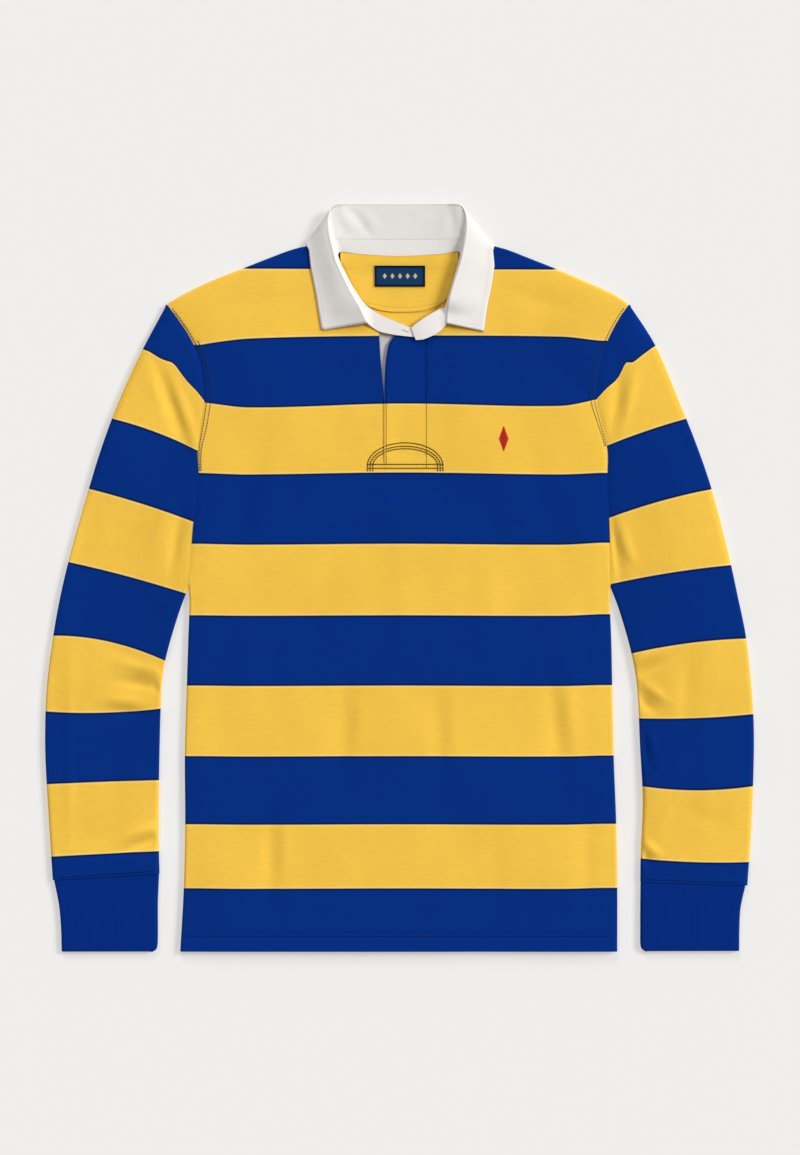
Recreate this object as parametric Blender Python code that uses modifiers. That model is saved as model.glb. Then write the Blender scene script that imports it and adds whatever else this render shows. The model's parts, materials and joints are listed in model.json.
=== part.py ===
"""A long-sleeved polo shirt of heavy hooped jersey, laid flat on its back with its front up.

The wearer's left is at +X, the collar is at +Y and the floor is at Z = 0. Tables are in millimetres.
Each piece of cloth is an open surface through the middle of its wall, which Solidify gives its
thickness. The back lies on the floor, the front lies on it, and both curl to meet at the seams.
"""

import bisect
import math

import bpy

MM = 0.001

JERSEY = 1.4
RIB = 1.6
TWILL = 1.3
PATCH_CLOTH = 1.0
LABEL_CLOTH = 0.8
SEAM_GAP = 0.3
SEAM_UPRIGHT = 0.4
FLAT_STEP = 0.5
LAYER_GAP = 0.3

BACK_MID = JERSEY / 2
FRONT_MID = 5.4
NECK_SINK = 0.4
CUFF_TOP_MID = 4.6
FALL_MID = TWILL / 2
LEAF_ON_FRONT = FRONT_MID + JERSEY / 2 + LAYER_GAP + TWILL / 2
BACK_LIFT = TWILL + LAYER_GAP
STAND_ON_BACK = BACK_MID + BACK_LIFT + JERSEY / 2 + LAYER_GAP + TWILL / 2

HEM_Y = -391.7
UNDERARM_Y = -9.0
TIP_Y = 287.0
NECK_TOP_Y = 351.0
SLOT_BOTTOM_Y = 114.0
BACK_NECK_DIP = 4.0
BACK_NECK_HALF = 72.0

# Side seams: y, x at the wearer's right, x at the wearer's left.
SIDE = (
    (HEM_Y, -230.0, 228.4),
    (-325.0, -226.3, 228.4),
    (-257.0, -224.8, 227.3),
    (-188.0, -225.2, 224.7),
    (-113.0, -223.1, 223.1),
    (-65.0, -221.6, 222.1),
    (-24.0, -220.3, 220.6),
    (UNDERARM_Y, -221.5, 221.5),
)

# Armhole seams, from the underarm to the shoulder tip: y, x right, x left.
ARMHOLE = (
    (UNDERARM_Y, -221.5, 221.5),
    (24.0, -218.9, 221.0),
    (58.0, -216.2, 220.0),
    (82.0, -211.8, 218.9),
    (109.0, -210.5, 218.0),
    (134.0, -211.6, 218.0),
    (163.0, -207.7, 211.8),
    (187.0, -204.4, 206.8),
    (207.0, -205.3, 207.2),
    (228.0, -209.5, 211.4),
    (249.0, -217.9, 218.2),
    (271.0, -232.0, 229.5),
    (TIP_Y, -243.8, 240.5),
)

# Shoulder seams, from the tip to the neck: y, x right, x left.
SHOULDER = (
    (TIP_Y, -243.8, 240.5),
    (297.0, -227.3, 225.8),
    (313.0, -193.7, 190.6),
    (325.5, -162.2, 161.0),
    (337.0, -133.0, 132.0),
    (344.0, -114.0, 114.0),
    (348.0, -97.0, 98.5),
    (NECK_TOP_Y, -85.0, 87.0),
)

# Neck and placket edges of the front: y, x of the right front's edge, x of the left front's.
OPENING = (
    (SLOT_BOTTOM_Y, -16.3, 29.9),
    (185.0, -16.3, 29.9),
    (211.0, -18.4, 29.9),
    (233.0, -20.1, 29.9),
    (252.0, -21.2, 30.5),
    (260.0, -21.8, 33.6),
    (268.5, -22.8, 40.0),
    (273.0, -26.5, 44.2),
    (277.0, -33.0, 48.4),
    (281.0, -38.0, 52.0),
    (287.0, -42.6, 54.8),
    (298.0, -48.8, 58.3),
    (314.0, -56.7, 62.5),
    (331.0, -63.5, 67.2),
    (344.0, -69.0, 70.8),
    (NECK_TOP_Y, -71.0, 72.0),
)

# Sleeve silhouettes: x and y along the outer fold, then along the underarm fold.
RIGHT_OUTER = (
    (-243.8, TIP_Y),
    (-269.3, 239.4),
    (-293.5, 186.9),
    (-311.3, 139.7),
    (-325.7, 93.5),
    (-343.9, 29.4),
    (-355.4, -17.9),
    (-363.8, -65.1),
    (-370.1, -117.6),
    (-371.7, -175.4),
    (-369.1, -233.1),
    (-363.8, -316.8),
)
RIGHT_INNER = (
    (-221.5, UNDERARM_Y),
    (-231.5, -35.7),
    (-242.5, -72.0),
    (-248.6, -100.0),
    (-250.6, -128.1),
    (-252.1, -191.1),
    (-252.7, -263.6),
    (-251.7, -309.8),
)
LEFT_OUTER = (
    (240.5, TIP_Y),
    (268.3, 243.6),
    (292.4, 186.9),
    (311.3, 139.7),
    (327.1, 93.5),
    (343.9, 29.4),
    (354.4, -17.9),
    (363.8, -65.1),
    (370.1, -128.1),
    (371.7, -179.6),
    (369.1, -259.4),
    (364.9, -322.4),
)
LEFT_INNER = (
    (221.5, UNDERARM_Y),
    (231.5, -35.7),
    (243.5, -78.3),
    (249.9, -117.6),
    (252.5, -175.4),
    (255.2, -233.1),
    (253.1, -285.6),
    (252.5, -318.7),
)

# Cuffs, from the sleeve to the hand: x and y at the outer fold, x and y at the inner fold.
RIGHT_CUFF = (
    (-362.4, -317.1, -252.2, -310.2),
    (-357.3, -343.0, -253.4, -340.0),
    (-355.2, -367.0, -253.4, -366.0),
    (-354.4, HEM_Y, -255.2, -391.0),
)
LEFT_CUFF = (
    (362.9, -322.7, 252.8, -319.1),
    (357.8, -346.0, 252.5, -344.0),
    (356.6, -368.0, 252.5, -368.0),
    (356.4, -391.0, 254.2, -391.0),
)

# Placket flap: y, x of its free edge, x of its sewn edge.
FLAP = (
    (SLOT_BOTTOM_Y + SEAM_GAP, -15.9, 29.5),
    (150.0, -15.9, 29.5),
    (185.0, -15.9, 29.5),
    (205.0, -15.6, 29.5),
    (220.0, -14.7, 29.5),
    (233.0, -12.5, 29.5),
    (246.0, -9.3, 29.5),
    (252.0, -4.6, 29.9),
    (259.0, -1.5, 29.9),
)
FACING_X = (-30.0, 4.0)
FACING_Y = (112.0, 268.0)
FACING_MID = 3.4

# Collar in front of the shoulders, from the front edge of the leaf upwards: x and y at the neck
# seam, where it rolls, and at its free edge.
COLLAR_FRONT_RIGHT = (
    (-36.0, 285.0, -40.6, 268.4, -81.4, 259.4),
    (-40.5, 291.5, -47.4, 285.2, -84.8, 279.0),
    (-47.7, 306.0, -54.8, 304.2, -87.9, 299.3),
    (-57.2, 328.0, -64.6, 330.6, -93.2, 326.5),
)
COLLAR_FRONT_LEFT = (
    (44.0, 280.4, 49.4, 268.6, 88.4, 258.4),
    (47.8, 283.6, 50.8, 277.4, 90.0, 270.6),
    (50.0, 290.0, 52.4, 289.8, 92.4, 287.0),
    (55.4, 308.0, 57.2, 308.0, 97.0, 309.0),
    (61.9, 329.4, 64.4, 330.4, 99.4, 327.5),
)
# The turn at each shoulder, from behind to the front: for the seam, the stand's upper edge, the
# roll and the free edge, the x and y where it starts, of the corner it rounds, and where it ends.
COLLAR_TURN_RIGHT = (
    (-58.0, 341.5, -60.5, 341.0, -60.5, 337.5),
    (-66.0, 356.2, -65.0, 352.5, -63.6, 342.5),
    (-66.0, 391.0, -72.5, 391.4, -66.8, 350.5),
    (-93.8, 347.4, -102.6, 356.6, -94.9, 343.5),
)
COLLAR_TURN_LEFT = (
    (59.0, 341.5, 61.5, 341.0, 61.6, 337.5),
    (66.5, 356.2, 65.6, 352.5, 63.9, 342.5),
    (66.5, 391.0, 71.5, 391.4, 67.4, 350.5),
    (97.2, 347.0, 104.2, 355.7, 98.8, 343.0),
)
# Collar behind the neck: x and y at the seam, at the stand's upper edge, at the roll and at the
# free edge of the fall.
COLLAR_BEHIND = (
    (-45.0, 340.0, -46.0, 356.4, -48.0, 391.0, -66.0, 338.4),
    (-24.0, 338.6, -24.5, 356.4, -25.5, 391.0, -33.0, 337.4),
    (-1.5, 337.6, -1.5, 356.4, -1.6, 391.0, -1.0, 337.0),
    (24.0, 338.6, 24.5, 356.4, 25.5, 391.0, 33.0, 337.4),
    (45.0, 340.0, 46.0, 356.4, 48.0, 391.0, 66.0, 338.4),
)

# Heights of the collar's middle: at the seam, at the stand's upper edge, before, on and after
# the roll, and at the free edge.
AT_POINT = (6.9, 8.6, 8.6, 8.9, 8.5, LEAF_ON_FRONT)
AT_SIDE_RIGHT = (6.6, 9.3, 9.3, 9.8, 9.5, LEAF_ON_FRONT)
AT_SIDE_LEFT = (5.0, 9.3, 9.3, 9.8, 9.5, LEAF_ON_FRONT)
AT_NAPE = (5.4, 8.2, 8.4, 9.0, 9.0, LEAF_ON_FRONT)
AT_BACK = (STAND_ON_BACK, STAND_ON_BACK, 2.95, 1.8, FALL_MID, FALL_MID)
ROLL_RADIUS = 1.15
TURN_STEPS = 4
JOIN_GAP = 0.9

# Lapped ends of the stand, from the tip: x and y of the lower and of the upper edge, and height.
STAND_END_RIGHT = (
    (31.0, 258.0, 31.0, 253.0, 7.05),
    (22.0, 260.0, 24.0, 252.0, 7.05),
    (11.0, 262.5, 12.0, 253.0, 7.05),
    (0.5, 266.2, -0.5, 254.6, 7.05),
    (-12.1, 272.0, -16.3, 257.3, 7.05),
    (-24.7, 278.8, -29.9, 264.1, 7.1),
)
STAND_END_LEFT = (
    (14.2, 260.8, 15.8, 251.0, 8.7),
    (17.9, 264.8, 22.6, 248.5, 8.7),
    (26.8, 270.4, 32.0, 251.5, 8.7),
    (36.5, 276.2, 41.5, 259.4, 7.9),
)

# Half-moon inside the back neck: y, x of its right edge, x of its left edge.
HALF_MOON = (
    (279.3, -8.0, 14.0),
    (281.0, -20.0, 26.0),
    (286.0, -34.0, 40.0),
    (294.0, -43.5, 50.5),
    (305.0, -50.5, 56.0),
    (318.0, -56.5, 59.0),
    (331.0, -60.5, 61.0),
)
HALF_MOON_TOP_Y = 336.8
LABEL_CENTRE = (0.4, 316.6)
LABEL_SIZE = (53.0, 22.0)

# Largest folds of the upper layer: x, y, direction in degrees, half length, half width, height.
FOLDS = (
    (-229.0, 182.0, -74.0, 32.0, 10.0, -0.9),
    (231.0, 187.0, -84.0, 36.0, 9.0, -0.9),
    (-265.0, -105.0, 26.0, 22.0, 9.0, -1.3),
    (263.0, -125.0, -30.0, 20.0, 9.0, -1.3),
    (-300.0, -140.0, 12.0, 26.0, 10.0, -0.7),
    (305.0, -118.0, 80.0, 34.0, 12.0, -0.7),
    (-131.0, -286.0, 88.0, 70.0, 20.0, -0.8),
    (-54.0, -154.0, 86.0, 60.0, 22.0, -0.6),
    (46.0, -165.0, 92.0, 66.0, 22.0, -0.7),
    (163.0, -172.0, 95.0, 60.0, 20.0, -0.7),
    (-165.0, 60.0, 70.0, 60.0, 24.0, -0.6),
    (160.0, 75.0, -72.0, 60.0, 24.0, -0.6),
    (-318.0, -272.0, 15.0, 22.0, 9.0, -0.8),
    (318.0, -250.0, -20.0, 24.0, 9.0, -0.8),
)

# Rows of the panels' grids.
SIDE_ROWS = (HEM_Y, -372.0, *range(-340, -59, 35), -28.0)
SEAM_ROWS = (58.0, 82.0, 109.0, 134.0, 163.0, 187.0, 207.0, 228.0, 249.0, 271.0)
SHOULDER_ROWS = (297.0, 313.0, 325.5, 337.0, 344.0, 348.0, NECK_TOP_Y)
OPENING_ROWS = (SLOT_BOTTOM_Y, 185.0, 211.0, 233.0, 252.0, 260.0, 268.5, 273.0, 277.0, 281.0, 331.0)
OUTER_COLUMNS = 5
MIDDLE_COLUMNS = 2
BACK_COLUMNS = 13
SLEEVE_RINGS = 17
CUFF_COLUMNS = 9

BLUE = (0.003, 0.027, 0.195)
YELLOW = (0.87, 0.52, 0.07)
WHITE = (0.85, 0.82, 0.78)
LABEL_BLUE = (0.01, 0.035, 0.12)


def smooth(table, at, column):
    """A cubic through the table's rows at this key, with the slopes of its neighbours."""
    keys = [row[0] for row in table]
    i = min(max(bisect.bisect_right(keys, at) - 1, 0), len(keys) - 2)

    def slope(k):
        low, high = max(k - 1, 0), min(k + 1, len(keys) - 1)
        return (table[high][column] - table[low][column]) / (keys[high] - keys[low])

    span = keys[i + 1] - keys[i]
    t = min(max((at - keys[i]) / span, 0.0), 1.0)
    a, b = table[i][column], table[i + 1][column]
    return (
        a * (1 + 2 * t) * (1 - t) ** 2
        + slope(i) * span * t * (1 - t) ** 2
        + b * t * t * (3 - 2 * t)
        - slope(i + 1) * span * t * t * (1 - t)
    )


def ease(low, high, at):
    """0 below low, 1 above high and a soft step between them."""
    t = min(max((at - low) / (high - low), 0.0), 1.0)
    return t * t * (3 - 2 * t)


def blend(a, b, t):
    return tuple(p + (q - p) * t for p, q in zip(a, b))


def resampled(points, count):
    """A Catmull-Rom curve through the points, cut into count equal steps."""
    fine = []
    steps = 12
    for i in range(len(points) - 1):
        before = points[max(i - 1, 0)]
        a, b = points[i], points[i + 1]
        after = points[min(i + 2, len(points) - 1)]
        for k in range(steps):
            t = k / steps
            fine.append(
                tuple(
                    0.5
                    * (
                        2 * a[n]
                        + (b[n] - before[n]) * t
                        + (2 * before[n] - 5 * a[n] + 4 * b[n] - after[n]) * t * t
                        + (3 * a[n] - before[n] - 3 * b[n] + after[n]) * t**3
                    )
                    for n in range(len(a))
                )
            )
    fine.append(points[-1])
    along = [0.0]
    for a, b in zip(fine, fine[1:]):
        along.append(along[-1] + math.dist(a, b))
    result = []
    for k in range(count + 1):
        at = along[-1] * k / count
        i = min(max(bisect.bisect_right(along, at) - 1, 0), len(fine) - 2)
        result.append(blend(fine[i], fine[i + 1], (at - along[i]) / (along[i + 1] - along[i])))
    return result


def back_height(x, y):
    """The middle of the lower layer, raised where the collar's fall lies below it."""
    under_collar = ease(318.0, 335.0, y) * (1 - ease(104.0, 122.0, abs(x - 1.5)))
    return BACK_MID + BACK_LIFT * under_collar


def front_height(x, y):
    """The middle of the upper layer, lower towards the neck, with its largest folds."""
    at_neck = ease(305.0, 335.0, y) * (1 - ease(118.0, 150.0, abs(x)))
    height = FRONT_MID - NECK_SINK * at_neck
    for fold_x, fold_y, direction, half_length, half_width, depth in FOLDS:
        turn = math.radians(direction)
        dx, dy = x - fold_x, y - fold_y
        along = (dx * math.cos(turn) + dy * math.sin(turn)) / half_length
        across = (dy * math.cos(turn) - dx * math.sin(turn)) / half_width
        height += depth * math.exp(-along * along - across * across)
    return height


def seam_rows():
    """Heights of the armhole's shared knots: the tip and the underarm, and one curl away from each."""
    curl = curl_radius(0.0, 0.0)
    return (UNDERARM_Y, UNDERARM_Y + curl, 24.0, *SEAM_ROWS, TIP_Y - 0.8 * curl, TIP_Y)


def curl_radius(x, y):
    """Radius with which both layers curl to meet halfway at an edge."""
    return (front_height(x, y) - back_height(x, y) - SEAM_GAP) / 2 - SEAM_UPRIGHT


def seam_x(y, column):
    """The armhole seam as straight runs between its knots, so that both sides of it match."""
    knots = seam_rows()
    i = min(max(bisect.bisect_right(knots, y) - 1, 0), len(knots) - 2)
    a, b = (smooth(ARMHOLE, knots[k], column) for k in (i, i + 1))
    return a + (b - a) * (y - knots[i]) / (knots[i + 1] - knots[i])


def panel_edge(y, column):
    """The panel's edge at this height: its x, and how much wider a row crosses the curl there, or 0."""
    inward = 1 if column == 1 else -1
    if y <= UNDERARM_Y:
        return smooth(SIDE, y, column) + inward * JERSEY / 2, 1.0
    if y < TIP_Y:
        return seam_x(y, column) + inward * 0.2, 0.0
    step = 0.5
    low, high = max(y - step, TIP_Y), min(y + step, NECK_TOP_Y)
    lean = (smooth(SHOULDER, high, column) - smooth(SHOULDER, low, column)) / (high - low)
    widen = min(math.hypot(1.0, lean), 3.2)
    return smooth(SHOULDER, y, column) + inward * widen * JERSEY / 2, widen


def edge_points(y, column, side):
    """Four points at a panel's edge: on the seam, above it, halfway round the curl, at its foot."""
    x, widen = panel_edge(y, column)
    inward = 1 if column == 1 else -1
    height = front_height if side > 0 else back_height
    radius = curl_radius(x, y)
    points = []
    for degrees, straight in ((90, SEAM_UPRIGHT), (90, 0.0), (45, 0.0), (0, 0.0)):
        turn = math.radians(degrees)
        depth = radius * (1 - math.sin(turn)) + (0.0 if widen or straight else FLAT_STEP)
        at = x + inward * depth * max(widen, 1.0)
        drop = radius * (1 - math.cos(turn)) + straight if widen else 0.0
        points.append((at, y, height(at, y) - side * drop))
    return points


def spread(start, end, count, y, height):
    """Points evenly between two x values, without the first."""
    return [
        (x, y, height(x, y))
        for x in (start + (end - start) * k / count for k in range(1, count + 1))
    ]


def front_rows():
    """The front's grid, whose middle columns stop at the foot of the placket slot."""
    rows = sorted({*SIDE_ROWS, *seam_rows(), *SHOULDER_ROWS, *OPENING_ROWS})
    grid, slot_row = [], 0
    for row, y in enumerate(rows):
        right_edge, left_edge = (edge_points(y, column, 1) for column in (1, 2))
        inner_right, inner_left = (smooth(OPENING, y, column) for column in (1, 2))
        points = right_edge + spread(right_edge[-1][0], inner_right, OUTER_COLUMNS, y, front_height)
        points += spread(inner_right, inner_left, MIDDLE_COLUMNS + 1, y, front_height)
        points += spread(inner_left, left_edge[-1][0], OUTER_COLUMNS, y, front_height)
        grid.append(points + left_edge[-2::-1])
        if y <= SLOT_BOTTOM_Y:
            slot_row = row
    first = 3 + OUTER_COLUMNS
    middle = range(first, first + MIDDLE_COLUMNS + 1)
    missing = {(row, column) for row in range(slot_row, len(rows)) for column in middle}
    return grid, missing


def back_rows():
    """The back's grid, whose last row dips for the neck."""
    rows = sorted({*SIDE_ROWS, *seam_rows(), *SHOULDER_ROWS})
    grid = []
    for y in rows:
        right_edge, left_edge = (edge_points(y, column, -1) for column in (1, 2))
        start, end = right_edge[-1][0], left_edge[-1][0]
        points = right_edge + spread(start, end, BACK_COLUMNS, y, back_height)
        grid.append(points + left_edge[-2::-1])
    dip_start = 344.0
    for points in grid:
        share = ease(dip_start, NECK_TOP_Y, points[0][1])
        for k, (x, y, z) in enumerate(points):
            dip = BACK_NECK_DIP * share * max(0.0, 1 - (x / BACK_NECK_HALF) ** 2)
            points[k] = (x, y - dip, z)
    return grid


def section_fractions(column):
    """Where the armhole's inner knots lie between its two curls, from the tip down."""
    knots = [(seam_x(y, column), y) for y in reversed(seam_rows())]
    along = [0.0]
    for a, b in zip(knots, knots[1:]):
        along.append(along[-1] + math.dist(a, b))
    first, last = along[1], along[-2]
    return knots, [(at - first) / (last - first) for at in along[1:-1]]


def ring(path, top_height, bottom_height, inset):
    """A flattened ring over a path across the sleeve: the top outwards-in, then the bottom back."""
    start, end = path[0], path[-1]
    towards_end, towards_start = direction(start, path[1]), direction(end, path[-2])
    points = []
    for near, way, middle in ((start, towards_end, path[1:-1]), (end, towards_start, path[-2:0:-1])):
        mid = (top_height(*near) + bottom_height(*near)) / 2
        radius = (top_height(*near) - bottom_height(*near)) / 2
        top_side = near is start
        for degrees in (90, 45):
            turn = math.radians(degrees)
            depth = inset + radius * (1 - math.sin(turn))
            rise = radius * math.cos(turn) * (1 if top_side else -1)
            points.append((near[0] + way[0] * depth, near[1] + way[1] * depth, mid + rise))
        height = top_height if top_side else bottom_height
        points += [(x, y, height(x, y)) for x, y in middle]
        far, back = (end, towards_start) if top_side else (start, towards_end)
        turn = math.radians(45)
        far_radius = (top_height(*far) - bottom_height(*far)) / 2
        depth = inset + far_radius * (1 - math.sin(turn))
        rise = far_radius * math.cos(turn) * (1 if top_side else -1)
        mid = (top_height(*far) + bottom_height(*far)) / 2
        points.append((far[0] + back[0] * depth, far[1] + back[1] * depth, mid + rise))
    return points


def direction(a, b):
    length = math.dist(a, b)
    return (b[0] - a[0]) / length, (b[1] - a[1]) / length


def sleeve_rings(outer, inner, column):
    """Rings from the armhole seam to the cuff. Each lies over a path between the two folds."""
    knots, fractions = section_fractions(column)
    outward = -1 if column == 1 else 1
    knots = [(x + outward * 0.2, y) for x, y in knots]
    for end, neighbour in ((0, 1), (-1, -2)):
        along = direction(knots[end], knots[neighbour])
        away = (-abs(along[1]) if column == 1 else abs(along[1]), -abs(along[0]) if end == 0 else 0.0)
        knots[end] = tuple(knots[end][n] + away[n] * JERSEY / 2 for n in (0, 1))
    outer_points = resampled(outer, SLEEVE_RINGS)
    inner_points = resampled(inner, SLEEVE_RINGS)
    curl = curl_radius(0.0, 0.0)
    bulges = []
    for fraction, knot in zip(fractions, knots[1:-1]):
        chord = blend(knots[1], knots[-2], fraction)
        bulges.append((knot[0] - chord[0], knot[1] - chord[1]))
    rings = []
    for k in range(SLEEVE_RINGS + 1):
        share = k / SLEEVE_RINGS
        start, end = (knots[0], knots[-1]) if k == 0 else (outer_points[k], inner_points[k])
        way, length = direction(start, end), math.dist(start, end)
        inset = JERSEY / 2 * ease(0.0, 1.0 / SLEEVE_RINGS, share)
        reach = (inset + curl) / length
        low, high = blend(start, end, reach), blend(start, end, 1 - reach)
        if k == 0:
            low, high = knots[1], knots[-2]
        path = [start]
        for fraction, bulge in zip(fractions, bulges):
            x, y = blend(low, high, fraction)
            keep = (1 - share) ** 1.5
            path.append((x + bulge[0] * keep, y + bulge[1] * keep))
        path.append(end)
        rings.append(ring(path, front_height, back_height, inset))
    return rings


def cuff_rings(table):
    """Rings of a ribbed cuff, straight across."""
    rings = []
    inset = RIB / 2
    radius = (CUFF_TOP_MID - RIB / 2) / 2
    for outer_x, outer_y, inner_x, inner_y in table:
        start, end = (outer_x, outer_y), (inner_x, inner_y)
        reach = (inset + radius) / math.dist(start, end)
        path = [start]
        inner = 1 - 2 * reach
        path += [blend(start, end, reach + inner * k / CUFF_COLUMNS) for k in range(CUFF_COLUMNS + 1)]
        path.append(end)
        rings.append(ring(path, lambda x, y: CUFF_TOP_MID, lambda x, y: RIB / 2, inset))
    return rings


def leaf_row(places, heights, turned):
    """One row across the leaf, from the stand over the roll to the free edge. Turned is 0 where
    the leaf is folded under and 1 where it lies in front."""
    join, roll, edge = places
    at_join, before, on_roll, after, at_edge = heights
    to_join, to_edge = direction(roll, join), direction(roll, edge)
    to_join = blend(to_join, (-to_edge[0], -to_edge[1]), min(1.0, 2 * turned))
    near = ROLL_RADIUS * (1 - math.sin(math.radians(45)))
    steepness = 0.71 - 0.41 * turned

    def point(way, distance, height):
        return roll[0] + way[0] * distance, roll[1] + way[1] * distance, height

    fall = math.dist(roll, edge)
    edge_of_roll = point(to_join, ROLL_RADIUS, before)
    row = [(*join, at_join)]
    row.append(blend(row[0], edge_of_roll, 0.5))
    row.append(edge_of_roll)
    row.append(point(to_join, near, on_roll + steepness * (before - on_roll)))
    row.append(point(to_join, 0.0, on_roll))
    row.append(point(to_edge, near, on_roll + steepness * (after - on_roll)))
    row.append(point(to_edge, ROLL_RADIUS, after))
    for share in (0.35, 0.7):
        row.append(point(to_edge, fall * share, after + (at_edge - after) * ease(0.0, 1.0, share)))
    row.append((*edge, at_edge))
    return row


def rounded(start_corner_end, share):
    """A point on the arc from a start to an end that rounds a corner."""
    x0, y0, x1, y1, x2, y2 = start_corner_end
    first, second = blend((x0, y0), (x1, y1), share), blend((x1, y1), (x2, y2), share)
    return blend(first, second, share)


def collar_stations():
    """The collar's stations, from the wearer's right point round the nape to the left point:
    places of seam, stand's upper edge, roll and free edge, then heights, and the turned share."""

    def in_front(row, heights):
        seam, roll, edge = row[0:2], row[2:4], row[4:6]
        out = direction(edge, roll)
        join = (roll[0] + out[0] * ROLL_RADIUS, roll[1] + out[1] * ROLL_RADIUS)
        return (seam, join, roll, edge), heights, 1.0

    def turning(paths, share):
        round_turn = (1 - math.cos(math.pi * share)) / 2
        flat, upright = blend(AT_BACK, AT_NAPE, share), blend(AT_BACK, AT_NAPE, round_turn)
        return tuple(rounded(path, share) for path in paths), (*flat[:4], *upright[4:]), share

    steps = [k / TURN_STEPS for k in range(TURN_STEPS + 1)]
    sides_right = (AT_POINT, AT_SIDE_RIGHT, AT_SIDE_RIGHT, AT_SIDE_RIGHT)
    sides_left = (AT_POINT, AT_POINT, AT_SIDE_LEFT, AT_SIDE_LEFT, AT_SIDE_LEFT)
    stations = [in_front(*pair) for pair in zip(COLLAR_FRONT_RIGHT, sides_right)]
    stations += [turning(COLLAR_TURN_RIGHT, share) for share in reversed(steps)]
    stations += [((row[0:2], row[2:4], row[4:6], row[6:8]), AT_BACK, 0.0) for row in COLLAR_BEHIND]
    stations += [turning(COLLAR_TURN_LEFT, share) for share in steps]
    return stations + [in_front(*pair) for pair in zip(COLLAR_FRONT_LEFT, sides_left)][::-1]


def leaf_rows():
    """The leaf's grid, a row for each station. It rises from the stand only behind the neck."""
    stations = collar_stations()
    rows = [leaf_row(places[1:], heights[1:], turned) for places, heights, turned in stations]
    turns = [turned for _, _, turned in stations]
    missing = {(i, j) for i in range(len(rows) - 1) for j in (0, 1) if turns[i] or turns[i + 1]}
    return rows, missing


def stand_rows():
    """The stand's grid: lower edge, middle and upper edge, with its two lapped ends."""

    def strip(low, high):
        return [low, blend(low, high, 0.5), high]

    def end(table):
        return [strip((x0, y0, z), (x1, y1, z)) for x0, y0, x1, y1, z in table]

    rows = end(STAND_END_RIGHT)
    for (seam, join, _, _), heights, _ in collar_stations():
        low, high = (*seam, heights[0]), (*join, heights[1])
        rows.append(strip(low, blend(low, high, 1 - JOIN_GAP / math.dist(low, high))))
    return rows + end(STAND_END_LEFT)[::-1]


def flap_rows():
    """The placket's outer flap, on a level with the front."""
    rows = []
    for y, right, left in FLAP:
        xs = [right + (left - right) * k / 3 for k in range(4)]
        rows.append([(x, y, front_height(x, y)) for x in xs])
    return rows


def facing_rows():
    """The white facing, flat below the slot."""
    (x_low, x_high), (y_low, y_high) = FACING_X, FACING_Y
    xs = (x_low, (x_low + x_high) / 2, x_high)
    count = 6
    ys = [y_low + (y_high - y_low) * k / count for k in range(count + 1)]
    return [[(x, y, FACING_MID) for x in xs] for y in ys]


def half_moon_rows():
    """The half-moon, made from the back panel's own surface and moved up."""
    lift = JERSEY / 2 + LAYER_GAP + PATCH_CLOTH / 2
    columns = 8
    rows = []
    for y, right, left in HALF_MOON:
        rows.append([(right + (left - right) * k / columns, y) for k in range(columns + 1)])
    right, left = HALF_MOON[-1][1:]
    top = []
    for k in range(columns + 1):
        x = right + (left - right) * k / columns
        sag = 3.4 * (abs(x) / BACK_NECK_HALF) ** 2 + 0.2
        top.append((x, HALF_MOON_TOP_Y + sag - 1.6))
    rows.append(top)
    return [[(x, y, back_height(x, y) + lift) for x, y in row] for row in rows]


def label_rows():
    """The woven label, moved up from the half-moon."""
    lift = JERSEY / 2 + LAYER_GAP + PATCH_CLOTH + LAYER_GAP + LABEL_CLOTH / 2
    width, height = LABEL_SIZE
    columns, rows = 4, 3
    grid = []
    for j in range(rows + 1):
        y = LABEL_CENTRE[1] + height * (j / rows - 0.5)
        xs = [LABEL_CENTRE[0] + width * (k / columns - 0.5) for k in range(columns + 1)]
        grid.append([(x, y, back_height(x, y) + lift) for x in xs])
    return grid


def material(name, colour, roughness):
    """A plain Principled material in the cloth's main colour."""
    made = bpy.data.materials.new(name)
    made.use_nodes = True
    shader = made.node_tree.nodes["Principled BSDF"]
    shader.inputs["Base Color"].default_value = (*colour, 1.0)
    shader.inputs["Roughness"].default_value = roughness
    shader.inputs["Metallic"].default_value = 0.0
    made.diffuse_color = (*colour, 1.0)
    return made


def cloth(name, rows, thickness, colour, roughness=0.85, missing=(), closed=False):
    """A wall of cloth: a grid surface through the rows of points, with Solidify on both sides."""
    width = len(rows[0])
    corners = [(x * MM, y * MM, z * MM) for row in rows for x, y, z in row]
    faces = []
    for i in range(len(rows) - 1):
        for j in range(width if closed else width - 1):
            if (i, j) in missing:
                continue
            k = (j + 1) % width
            faces.append((i * width + j, i * width + k, (i + 1) * width + k, (i + 1) * width + j))
    used = sorted({corner for face in faces for corner in face})
    index = {corner: k for k, corner in enumerate(used)}
    mesh = bpy.data.meshes.new(name)
    mesh.from_pydata([corners[k] for k in used], [], [tuple(index[k] for k in face) for face in faces])
    mesh.materials.append(material(name, colour, roughness))
    mesh.shade_smooth()
    made = bpy.data.objects.new(name, mesh)
    shirt.objects.link(made)
    wall = made.modifiers.new("wall", "SOLIDIFY")
    wall.thickness = thickness * MM
    wall.offset = 0.0
    wall.use_even_offset = False
    return made


for leftover in list(bpy.data.objects):
    bpy.data.objects.remove(leftover, do_unlink=True)

shirt = bpy.data.collections.new("polo_shirt")
bpy.context.scene.collection.children.link(shirt)

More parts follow.
